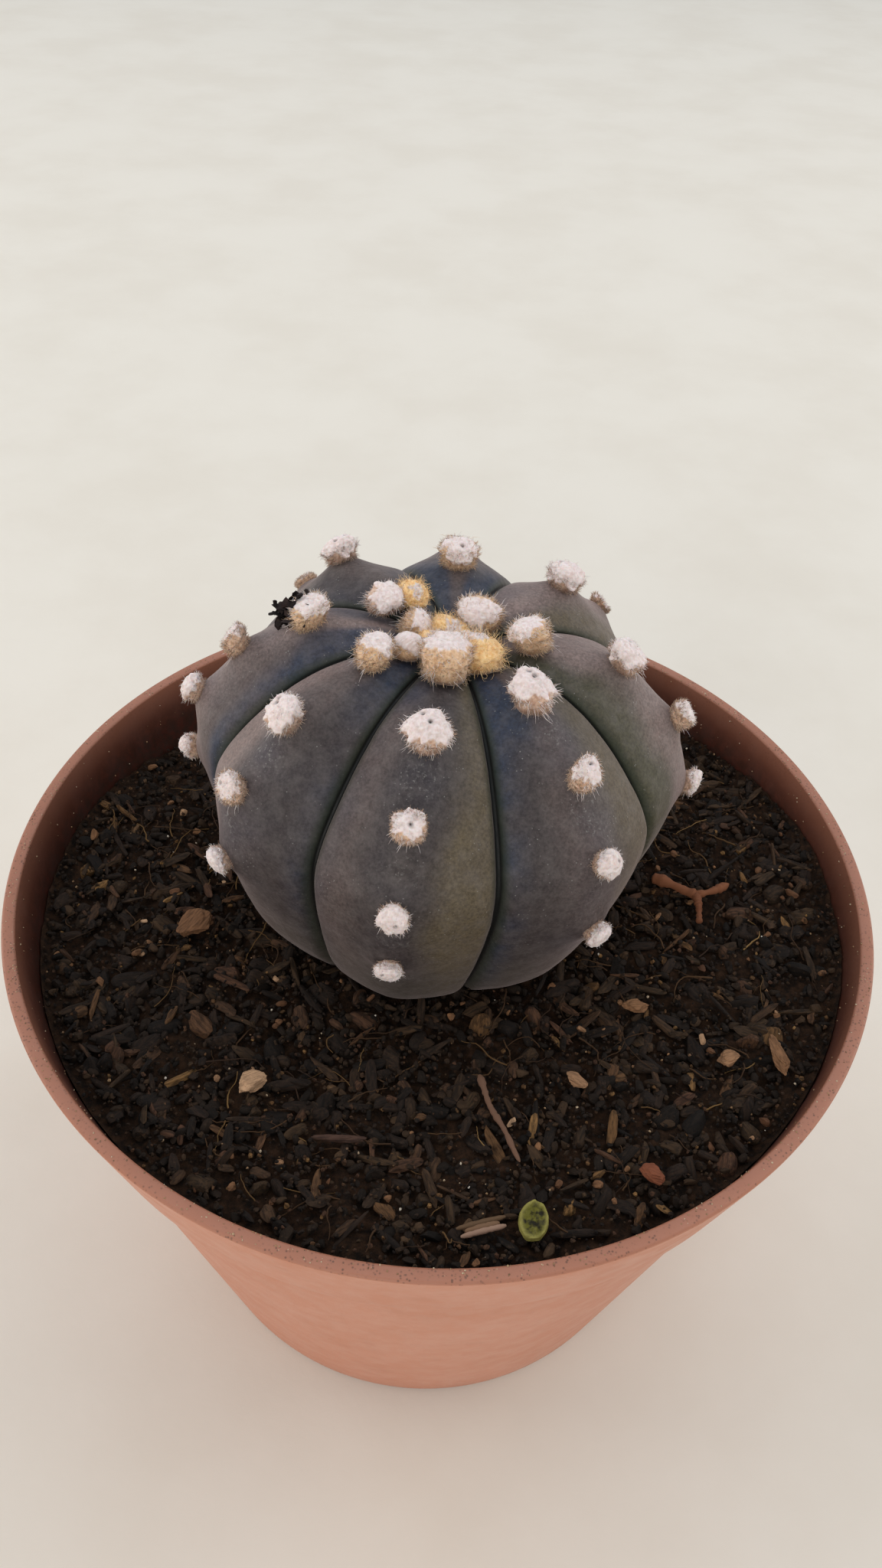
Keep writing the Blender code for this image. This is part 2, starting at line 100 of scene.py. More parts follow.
def eased(value: Array, low: float, high: float) -> Array:
    """A smooth step from 0 at low to 1 at high."""
    share = np.clip((np.asarray(value, float) - low) / (high - low), 0.0, 1.0)
    return share * share * (3 - 2 * share)


def unit(vectors: Array) -> Array:
    """Vectors scaled to a length of 1."""
    return vectors / np.maximum(np.linalg.norm(vectors, axis=-1, keepdims=True), 1e-12)


def lattice_noise(points: Array, size: float, seed: int) -> Array:
    """Smooth noise in space.

    Args:
        points: Places, with x, y and z in the last axis.
        size: The distance over which the noise changes.
        seed: Which noise it is.

    Returns:
        One value from -1 to 1 for each place.
    """
    scaled = np.asarray(points, float) / size + seed * SEED_SHIFT
    base = np.floor(scaled).astype(np.int64)
    part = scaled - base
    ease = part * part * (3 - 2 * part)
    total = np.zeros(scaled.shape[:-1])
    for corner in itertools.product((0, 1), repeat=3):
        cell = base + np.array(corner)
        key = np.int64(seed * SEED_STIR)
        for axis, stir in enumerate(CELL_STIRS):
            key = key ^ cell[..., axis] * stir
        key = (key ^ (key >> 13)) * LAST_STIR & 0xFFFFFFFF
        value = ((key ^ (key >> 16)) & 0xFFFF) / (0xFFFF / 2) - 1
        total += value * np.prod(np.where(corner, ease, 1 - ease), axis=-1)
    return total


def rough_noise(points: Array, size: float, seed: int, octaves: int = 3) -> Array:
    """Noise with finer and weaker layers over it, each half the size and half the height."""
    layers = range(octaves)
    return sum(lattice_noise(points, size / 2**k, seed + 31 * k) / 2**k for k in layers)


@functools.lru_cache
def ball(cuts: int) -> tuple[Array, Array]:
    """Points and triangles of a ball of radius 1, cut from an icosahedron."""
    shell = bmesh.new()
    bmesh.ops.create_icosphere(shell, subdivisions=cuts, radius=1.0)
    points = np.array([v.co for v in shell.verts])
    faces = np.array([[v.index for v in f.verts] for f in shell.faces])
    shell.free()
    return points, faces


class MeshDraft:
    """Points, faces and values gathered piece by piece before one mesh is made of them."""

    def __init__(self) -> None:
        """Starts with nothing."""
        self.points: list[Array] = []
        self.faces: list[Array] = []
        self.values: dict[str, list[Array]] = defaultdict(list)
        self.count = 0

    def add(self, points: Array, faces: Array | Sequence[Array], **values: float | Array) -> None:
        """Adds points with their faces.

        Args:
            points: Places, as rows of x, y and z.
            faces: One array of corner numbers for each face, or several such arrays.
            values: A number, or one for each point, of each named attribute.
        """
        self.points.append(points)
        several = [faces] if isinstance(faces, np.ndarray) else faces
        self.faces += [part + self.count for part in several]
        for name, value in values.items():
            value = np.asarray(value, float)
            shape = (len(points), 3) if value.ndim == 2 or value.shape == (3,) else (len(points),)
            self.values[name].append(np.broadcast_to(value, shape))
        self.count += len(points)

    def make(self, name: str, finish: bpy.types.Material, sharp: float = 60.0) -> bpy.types.Object:
        """Makes the object.

        Args:
            name: The piece's name.
            finish: Its material.
            sharp: The angle in degrees above which an edge stays sharp.

        Returns:
            The object, linked to the scene.
        """
        mesh = bpy.data.meshes.new(name)
        points = np.concatenate(self.points).astype(np.float32)
        loops = np.concatenate([part.ravel() for part in self.faces]).astype(np.int32)
        sizes = np.concatenate([np.full(len(part), part.shape[1]) for part in self.faces])
        mesh.vertices.add(len(points))
        mesh.vertices.foreach_set("co", points.ravel())
        mesh.loops.add(len(loops))
        mesh.loops.foreach_set("vertex_index", loops)
        mesh.polygons.add(len(sizes))
        mesh.polygons.foreach_set("loop_start", (np.cumsum(sizes) - sizes).astype(np.int32))
        mesh.update(calc_edges=True)
        for value_name, parts in self.values.items():
            data = np.concatenate(parts).astype(np.float32)
            kind, socket = ("FLOAT_VECTOR", "vector") if data.ndim == 2 else ("FLOAT", "value")
            mesh.attributes.new(value_name, kind, "POINT").data.foreach_set(socket, data.ravel())
        mesh.validate()
        mesh.materials.append(finish)
        mesh.shade_smooth()
        mesh.set_sharp_from_angle(angle=math.radians(sharp))
        made = bpy.data.objects.new(name, mesh)
        bpy.context.scene.collection.objects.link(made)
        return made


def grid_faces(rows: int, columns: int, around: bool = True) -> Array:
    """Quads between rows of points, each row closed on itself if it goes around."""
    spans = columns if around else columns - 1
    row, column = np.meshgrid(np.arange(rows - 1), np.arange(spans), indexing="ij")
    here, beside = row * columns + column, row * columns + (column + 1) % columns
    return np.stack([here, beside, beside + columns, here + columns], axis=-1).reshape(-1, 4)


def rod_mesh(paths: Array, radii: Array, sides: int) -> tuple[Array, list[Array]]:
    """Round rods along many paths at once.

    Args:
        paths: Places, with axes for the rod, the point along it and x, y, z.
        radii: The radius at each point of each rod.
        sides: How many sides each rod has.

    Returns:
        Points, and arrays of their faces, end caps included.
    """
    count, steps = paths.shape[:2]
    ahead = unit(np.gradient(paths, axis=1))
    other = np.where(np.abs(ahead[:, :1, 2:]) > 0.8, [[[1.0, 0.0, 0.0]]], [[[0.0, 0.0, 1.0]]])
    side = unit(np.cross(ahead, np.broadcast_to(other, ahead.shape)))
    up = np.cross(side, ahead)
    turns = 2 * math.pi * np.arange(sides) / sides
    ring = side[:, :, None] * np.cos(turns)[:, None] + up[:, :, None] * np.sin(turns)[:, None]
    points = paths[:, :, None] + ring * radii[:, :, None, None]
    starts = np.arange(count)[:, None, None] * steps * sides
    walls = (grid_faces(steps, sides)[:, ::-1][None] + starts).reshape(-1, 4)
    first = (np.arange(sides)[None] + starts[:, 0]).reshape(count, sides)
    last = first[:, ::-1] + (steps - 1) * sides
    return points.reshape(-1, 3), [walls, first, last]


def add_rods(draft: MeshDraft, paths: Array, radii: Array, sides: int, **values: float | Array) -> None:
    """Adds rods to a draft, with one value of each attribute for each rod or for all of them."""
    points, faces = rod_mesh(paths, radii, sides)
    each = len(points) // len(paths)
    spread = {k: np.repeat(v, each) if np.ndim(v) else v for k, v in values.items()}
    draft.add(points, faces, **spread)


def wandering(
    starts: Array, headings: Array, lengths: Array, curl: float, steps: int, chance: np.random.Generator
) -> Array:
    """Paths that set out straight and wander more and more.

    Args:
        starts: Where each path starts.
        headings: Which way each sets out.
        lengths: How long each is.
        curl: How far its heading turns in each step.
        steps: How many points each has.
        chance: The source of chance.

    Returns:
        Places, with axes for the path, the point along it and x, y, z.
    """
    places = [starts]
    heading = unit(headings)
    for _ in range(steps - 1):
        heading = unit(heading + chance.normal(0, curl, heading.shape))
        places.append(places[-1] + heading * (lengths / (steps - 1))[:, None])
    return np.stack(places, axis=1)


# Finishes


class NodeSheet:
    """A material's nodes, with a short method for each kind of node."""

    def __init__(self, name: str) -> None:
        """Starts a material of this name with its shader."""
        self.material = bpy.data.materials.new(name)
        self.material.use_nodes = True
        self.tree = self.material.node_tree
        self.shader = self.tree.nodes["Principled BSDF"]
        self.space = self.node("ShaderNodeTexCoord").outputs["Object"]

    def node(self, kind: str, **settings: object) -> bpy.types.Node:
        """A new node with these settings."""
        made = self.tree.nodes.new(kind)
        for name, value in settings.items():
            setattr(made, name, value)
        return made

    def feed(self, socket: bpy.types.NodeSocket, value: object) -> None:
        """Links a socket to another node's output, or sets it to a constant."""
        if isinstance(value, bpy.types.NodeSocket):
            self.tree.links.new(value, socket)
        elif isinstance(value, str):
            socket.default_value = paint(value)
        else:
            socket.default_value = value

    def attribute(self, name: str, output: str = "Fac") -> bpy.types.NodeSocket:
        """The mesh's own value of this name."""
        return self.node("ShaderNodeAttribute", attribute_name=name).outputs[output]

    def stretched(self, scale: tuple[float, ...], vector: object = None) -> bpy.types.NodeSocket:
        """Coordinates scaled along each axis."""
        made = self.node("ShaderNodeMapping")
        self.feed(made.inputs["Vector"], vector or self.space)
        made.inputs["Scale"].default_value = scale
        return made.outputs["Vector"]

    def noise(
        self, size: float, detail: float = 3.0, rough: float = 0.55, vector: object = None
    ) -> bpy.types.NodeSocket:
        """Cloudy noise whose features are this big, from 0 to 1."""
        made = self.node("ShaderNodeTexNoise")
        self.feed(made.inputs["Vector"], vector or self.space)
        made.inputs["Scale"].default_value = 1 / size
        made.inputs["Detail"].default_value = detail
        made.inputs["Roughness"].default_value = rough
        return made.outputs["Fac"]

    def cells(self, size: float) -> bpy.types.NodeSocket:
        """The distance to the nearest of many scattered points this far apart, as a share of that."""
        made = self.node("ShaderNodeTexVoronoi")
        self.feed(made.inputs["Vector"], self.space)
        made.inputs["Scale"].default_value = 1 / size
        return made.outputs["Distance"]

    def levels(
        self, value: object, low: float, high: float, to_low: float = 0.0, to_high: float = 1.0
    ) -> bpy.types.NodeSocket:
        """A value's range from low to high, stretched to another range and held within it."""
        made = self.node("ShaderNodeMapRange", interpolation_type="SMOOTHSTEP")
        for socket, each in zip(made.inputs, (value, low, high, to_low, to_high)):
            self.feed(socket, each)
        return made.outputs["Result"]

    def product(self, first: object, second: object) -> bpy.types.NodeSocket:
        """Two values multiplied."""
        made = self.node("ShaderNodeMath", operation="MULTIPLY")
        self.feed(made.inputs[0], first)
        self.feed(made.inputs[1], second)
        return made.outputs["Value"]

    def ramp(self, value: object, stops: Stops) -> bpy.types.NodeSocket:
        """Colours along a value from 0 to 1."""
        made = self.node("ShaderNodeValToRGB")
        self.feed(made.inputs["Fac"], value)
        elements = made.color_ramp.elements
        while len(elements) < len(stops):
            elements.new(0.5)
        for element, (place, colour) in zip(elements, stops):
            element.position = place
            element.color = paint(colour)
        return made.outputs["Color"]

    def mix(
        self, share: object, first: object, second: object, blend: str = "MIX"
    ) -> bpy.types.NodeSocket:
        """The first colour, with this share of the second over it."""
        made = self.node("ShaderNodeMix", data_type="RGBA", blend_type=blend)
        self.feed(made.inputs["Factor"], share)
        self.feed(made.inputs[FIRST_COLOUR], first)
        self.feed(made.inputs[SECOND_COLOUR], second)
        return made.outputs[MIXED_COLOUR]

    def bump(
        self, height: object, distance: float, strength: float = 1.0, under: object = None
    ) -> bpy.types.NodeSocket:
        """A fine relief of this depth, over another one if given."""
        made = self.node("ShaderNodeBump")
        self.feed(made.inputs["Height"], height)
        made.inputs["Distance"].default_value = distance
        made.inputs["Strength"].default_value = strength
        if under is not None:
            self.feed(made.inputs["Normal"], under)
        return made.outputs["Normal"]

    def finish(
        self, colour: object, roughness: object, normal: object, **constants: object
    ) -> bpy.types.Material:
        """Sets the shader's sockets.

        Args:
            colour: The base colour, or a node's output.
            roughness: The roughness, or a node's output.
            normal: A bump node's output.
            constants: Other sockets by name, with _ for a space, each set to a constant.

        Returns:
            The finished material.
        """
        self.feed(self.shader.inputs["Base Color"], colour)
        self.feed(self.shader.inputs["Roughness"], roughness)
        self.feed(self.shader.inputs["Normal"], normal)
        for name, value in constants.items():
            self.feed(self.shader.inputs[name.replace("_", " ")], value)
        return self.material


class Tone(Enum):
    """The tints that the skin's flanks and crests take, as colours."""

    MAUVE = "#5E504D"
    OLIVE = "#675A41"
    MOSS = "#4A4830"
    # Pale pink, lightened so that it also stands for light on the flanks that face the sides: part
    # tint, part painted highlight.
    ROSE = "#957F78"
    UMBER = "#393133"
    SLATE = "#22344C"


@dataclass(frozen=True)
class SkinFinish:
    """Matte waxy skin: mottled, dusty under the areoles, dark green with painted shade at the grooves'
    lips, and painted dark shade in the grooves.
    """

    name: str = "cactus_skin"
    neutral: Colour = "#544B46"
    # Dark green at the grooves' lips: partly the skin's own green, partly painted shade.
    lip: Colour = "#262F20"
    # Near-black painted shade along the bottom of each groove.
    groove: Colour = "#0B0D0B"
    foot: Colour = "#544C3B"
    dust: Colour = "#A3A19C"
    grain: Colour = "#2E2B2B"
    haze: Colour = "#8A827E"
    sheen: Colour = "#E8D2CE"

    def make(self) -> bpy.types.Material:
        """The material, from the tones that the mesh holds."""
        sheet = NodeSheet(self.name)
        cloud = sheet.levels(sheet.noise(6 * MM, detail=4, rough=0.6), 0.3, 0.7, 0.70, 1.0)
        colour = self.neutral
        for tone in Tone:
            share = sheet.product(sheet.attribute("tone_" + tone.name.lower()), cloud)
            colour = sheet.mix(share, colour, tone.value)
        colour = sheet.mix(sheet.attribute("foot"), colour, self.foot)
        grain = sheet.levels(sheet.noise(0.35 * MM, detail=4, rough=0.65), 0.3, 0.7, 0.0, 0.5)
        colour = sheet.mix(grain, colour, self.grain, "MULTIPLY")
        mottle = sheet.levels(sheet.noise(1.6 * MM, detail=5, rough=0.6), 0.35, 0.75, 0.0, 0.15)
        colour = sheet.mix(mottle, colour, self.haze)
        flecks = sheet.levels(sheet.cells(0.50 * MM), 0.05, 0.20, 0.55, 0.0)
        sparse = sheet.levels(sheet.noise(2.2 * MM, detail=3), 0.50, 0.64)
        colour = sheet.mix(sheet.product(flecks, sparse), colour, self.dust)
        smear = sheet.levels(sheet.noise(0.5 * MM, detail=4, rough=0.7), 0.52, 0.72)
        dusted = sheet.product(smear, sheet.attribute("dust"))
        colour = sheet.mix(dusted, colour, self.dust)
        # Dark green at the grooves' lips, partly the skin's green and partly painted shade.
        colour = sheet.mix(sheet.attribute("lip"), colour, self.lip)
        # Painted shade: near-black along the bottom of each groove.
        colour = sheet.mix(sheet.attribute("groove"), colour, self.groove)
        fine = sheet.bump(sheet.noise(0.22 * MM, detail=3, rough=0.6), 0.03 * MM, 0.7)
        relief = sheet.bump(sheet.noise(1.5 * MM, detail=3, rough=0.5), 0.10 * MM, 0.6, fine)
        rough = sheet.levels(sheet.noise(1.0 * MM, detail=3), 0.3, 0.7, 0.50, 0.66)
        return sheet.finish(
            colour,
            rough,
            relief,
            Specular_IOR_Level=0.30,
            Sheen_Weight=0.28,
            Sheen_Roughness=0.35,
            Sheen_Tint=self.sheen,
        )


@dataclass(frozen=True)
class WoolFinish:
    """Felted areole wool: a pale cap, tan flanks, gold where it is young, painted dark shade in its
    pits.
    """

    name: str
    cap: Colour = "#EADCD8"
    flank: Colour = "#D6B49C"
    gold: Colour = "#FFD9A0"
    # Painted shade in the dents of the pad.
    pit: Colour = "#1E120C"
    cap_stain: Colour = "#C8ADA0"
    flank_stain: Colour = "#B28C74"
    gold_stain: Colour = "#EAB875"
    shadow: Colour = "#4A3122"

    def make(self) -> bpy.types.Material:
        """The material, from the mesh's cap, gold and shade values and the painted shade in its pits.
        """
        sheet = NodeSheet(self.name)
        stain = sheet.levels(sheet.noise(0.45 * MM, detail=3), 0.35, 0.68)
        cap = sheet.mix(sheet.product(stain, 0.5), self.cap, self.cap_stain)
        flank = sheet.mix(stain, self.flank, self.flank_stain)
        gold = sheet.mix(stain, self.gold, self.gold_stain)
        colour = sheet.mix(sheet.attribute("gold"), flank, gold)
        colour = sheet.mix(sheet.attribute("cap"), colour, cap)
        shade = sheet.product(sheet.attribute("shade"), 0.85)
        colour = sheet.mix(shade, colour, self.shadow, "MULTIPLY")
        # Painted dark shade in the pits.
        colour = sheet.mix(sheet.attribute("pit"), colour, self.pit)
        fibre = sheet.bump(sheet.noise(0.10 * MM, detail=4, rough=0.7), 0.06 * MM, 0.9)
        return sheet.finish(
            colour,
            0.95,
            fibre,
            Specular_IOR_Level=0.15,
            Sheen_Weight=0.35,
            Sheen_Roughness=0.6,
            Subsurface_Weight=0.15,
            Subsurface_Scale=0.6 * MM,
        )


@dataclass(frozen=True)
class PlasticFinish:
    """Moulded terracotta-coloured plastic: satin, faintly clouded, dusty, soil-stained and with painted
    shade inside.
    """

    name: str = "pot_plastic"
    body: Colour = "#BE7F64"
    bloom: Colour = "#CC9680"
    deep: Colour = "#B0745A"
    # The dark inner wall: part soil stain, part painted shade.
    inside: Colour = "#431C12"
    rim: Colour = "#9A654E"
    soil: Colour = "#2E1D15"
    grit: Colour = "#3A281F"
    scuff: Colour = "#D8AE9A"

    def make(self) -> bpy.types.Material:
        """The material, from the mesh's inside, lip and soil values."""
        sheet = NodeSheet(self.name)
        cloud = sheet.levels(sheet.noise(14 * MM, detail=5, rough=0.6), 0.35, 0.7)
        colour = sheet.mix(sheet.product(cloud, 0.35), self.body, self.bloom)
        drift = sheet.levels(sheet.noise(4 * MM, detail=5, rough=0.65), 0.5, 0.75, 0.0, 0.35)
        colour = sheet.mix(drift, colour, self.deep)
        scuff = sheet.noise(1.4 * MM, 4, 0.7, sheet.stretched((0.6, 0.6, 1.2)))
        colour = sheet.mix(sheet.levels(scuff, 0.62, 0.74, 0.0, 0.08), colour, self.scuff)
        # Inner wall: soil stain and painted shade together.
        colour = sheet.mix(sheet.attribute("inside"), colour, self.inside)
        colour = sheet.mix(sheet.attribute("lip"), colour, self.rim)
        specks = sheet.levels(sheet.cells(0.42 * MM), 0.12, 0.40, 1.0, 0.0)
        patchy = sheet.levels(sheet.noise(2.5 * MM, detail=3), 0.35, 0.62)
        lip = sheet.product(sheet.product(specks, patchy), sheet.attribute("lip"))
        colour = sheet.mix(sheet.product(lip, 0.75), colour, self.grit)
        dirt = sheet.levels(sheet.noise(1.1 * MM, detail=5, rough=0.7), 0.30, 0.62)
        dirt = sheet.product(dirt, sheet.attribute("soil"))
        colour = sheet.mix(dirt, colour, self.soil)
        grain = sheet.bump(sheet.noise(0.30 * MM, detail=2), 0.018 * MM, 0.6)
        wave = sheet.bump(sheet.noise(9 * MM, detail=2), 0.05 * MM, 0.4, grain)
        rough = sheet.levels(sheet.noise(3 * MM, detail=4), 0.3, 0.7, 0.40, 0.56)
        return sheet.finish(colour, rough, wave, Specular_IOR_Level=0.42)


@dataclass(frozen=True)
class CrumbFinish:
    """Bark, charcoal, peat or grit: the mesh's tone picks a colour, its grain gives the fibres."""

    name: str
    stops: Stops
    fibre: float = 0.5
    roughness: float = 0.85
    gloss: float = 0.25
    shadow: Colour = "#0C0806"
    dry: Colour = "#6E5844"

    def make(self) -> bpy.types.Material:
        """The material, with fibres along each piece's own length."""
        sheet = NodeSheet(self.name)
        colour = sheet.ramp(sheet.attribute("tone"), self.stops)
        along = sheet.stretched((0.18, 1.0, 1.0), sheet.attribute("grain", "Vector"))
        streak = sheet.noise(0.28 * MM, 4, 0.65, along)
        fibres = sheet.levels(streak, 0.35, 0.65, 0.0, self.fibre)
        colour = sheet.mix(fibres, colour, self.shadow, "MULTIPLY")
        dry = sheet.levels(sheet.noise(0.7 * MM, detail=4, rough=0.7), 0.55, 0.80, 0.0, 0.22)
        colour = sheet.mix(dry, colour, self.dry)
        relief = sheet.bump(streak, 0.12 * MM, 0.8)
        fine = sheet.bump(sheet.noise(0.12 * MM, detail=3, rough=0.7), 0.05 * MM, 0.8, relief)
        return sheet.finish(colour, self.roughness, fine, Specular_IOR_Level=self.gloss)


@dataclass(frozen=True)
class SoilFinish:
    """The fine dark ground between the crumbs."""

    name: str = "potting_mix"
    dark: Colour = "#140D08"
    brown: Colour = "#352316"
    dry: Colour = "#3D2C24"

    def make(self) -> bpy.types.Material:
        """The material."""
        sheet = NodeSheet(self.name)
        stops = ((0.38, self.dark), (0.62, self.brown), (0.78, self.dry))
        colour = sheet.ramp(sheet.noise(1.1 * MM, detail=5, rough=0.7), stops)
        relief = sheet.bump(sheet.noise(0.45 * MM, detail=5, rough=0.75), 0.25 * MM, 1.0)
        return sheet.finish(colour, 0.96, relief, Specular_IOR_Level=0.15)


@dataclass(frozen=True)
class LeafFinish:
    """A shrivelled green seed leaf with a paler, yellower rim."""

    name: str = "seed_leaf"
    green: Colour = "#5E5A1A"
    rim: Colour = "#8C8544"
    vein: Colour = "#1C1808"

    def make(self) -> bpy.types.Material:
        """The material, from the mesh's rim value."""
        sheet = NodeSheet(self.name)
        veins = sheet.levels(sheet.noise(0.9 * MM, detail=4), 0.40, 0.60)
        colour = sheet.mix(veins, self.green, self.vein)
        colour = sheet.mix(sheet.attribute("rim"), colour, self.rim)
        relief = sheet.bump(sheet.noise(0.4 * MM, detail=4, rough=0.7), 0.10 * MM, 0.8)
        return sheet.finish(colour, 0.6, relief, Specular_IOR_Level=0.2)


@dataclass(frozen=True)
class StageFinish:
    """A plain pale floor."""

    name: str = "floor"
    pale: Colour = "#DDD7CB"
    shade: Colour = "#D8D1C4"

    def make(self) -> bpy.types.Material:
        """The material."""
        sheet = NodeSheet(self.name)
        clouds = sheet.levels(sheet.noise(60 * MM, detail=5, rough=0.6), 0.35, 0.7)
        colour = sheet.mix(clouds, self.pale, self.shade)
        relief = sheet.bump(sheet.noise(2 * MM, detail=4), 0.10 * MM, 0.4)
        return sheet.finish(colour, 0.75, relief, Specular_IOR_Level=0.25)


BARK_STOPS = (
    (0.0, "#17100A"),
    (0.35, "#2D1F15"),
    (0.55, "#42301E"),
    (0.72, "#553928"),
    (0.86, "#735330"),
    (1.0, "#A07848"),
)
CHARCOAL_STOPS = (
    (0.0, "#110C08"),
    (0.45, "#251B13"),
    (0.65, "#38291C"),
    (0.85, "#4A3726"),
    (1.0, "#70543A"),
)
FIBRE_STOPS = ((0.0, "#2A1B12"), (0.5, "#4E3620"), (0.8, "#7A5C34"), (1.0, "#A88654"))
GRIT_STOPS = ((0.0, "#6A4C32"), (0.4, "#9A7852"), (0.7, "#C0AA8C"), (1.0, "#E0DACE"))
FLOWER_STOPS = ((0.0, "#120D0D"), (0.6, "#2B201F"), (1.0, "#4C3B38"))


def graded(dark: Colour, middle: Colour, pale: Colour) -> Stops:
    """Three colours, evenly spaced from 0 to 1."""
    return (0.0, dark), (0.5, middle), (1.0, pale)


FINISHES = (
    SkinFinish(),
    WoolFinish("wool"),
    WoolFinish("golden_wool", flank="#D69440"),
    PlasticFinish(),
    SoilFinish(),
    LeafFinish(),
    StageFinish(),
    CrumbFinish("dried_flower", FLOWER_STOPS, fibre=0.5),
    CrumbFinish("bark", BARK_STOPS, fibre=0.7),
    CrumbFinish("charcoal", CHARCOAL_STOPS, fibre=0.35, gloss=0.2),
    CrumbFinish("fibre", FIBRE_STOPS, fibre=0.4),
    CrumbFinish("grit", GRIT_STOPS, fibre=0.15, roughness=0.6, gloss=0.5),
    CrumbFinish("pale_chip", graded("#5A3A26", "#8E6646", "#D8B08A"), fibre=0.45),
    CrumbFinish("clay_chip", graded("#4E281A", "#73402A", "#93573C"), fibre=0.3),
    CrumbFinish("straw", graded("#4E3E28", "#8A6A50", "#B79580"), fibre=0.6, roughness=0.8, gloss=0.2),
    CrumbFinish("twig", graded("#3A2A22", "#5E4336", "#9A745C"), fibre=0.6),
    CrumbFinish("rootlet", graded("#4A2818", "#7E4C32", "#B2744E"), fibre=0.6),
)


@functools.lru_cache
def finish_of(name: str) -> bpy.types.Material:
    """The material of this name, made on first use."""
    return next(finish for finish in FINISHES if finish.name == name).make()


def settle(piece: bpy.types.Object, slot: str, *nodes: str) -> bpy.types.Object:
    """Makes a piece ride on the body, hides the nodes it stands for, and logs it."""
    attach(piece, BODY)
    if nodes:
        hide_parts(*nodes)
    LOG.info("%s: %d faces", piece.name, len(piece.data.polygons))
    return piece


# The pot


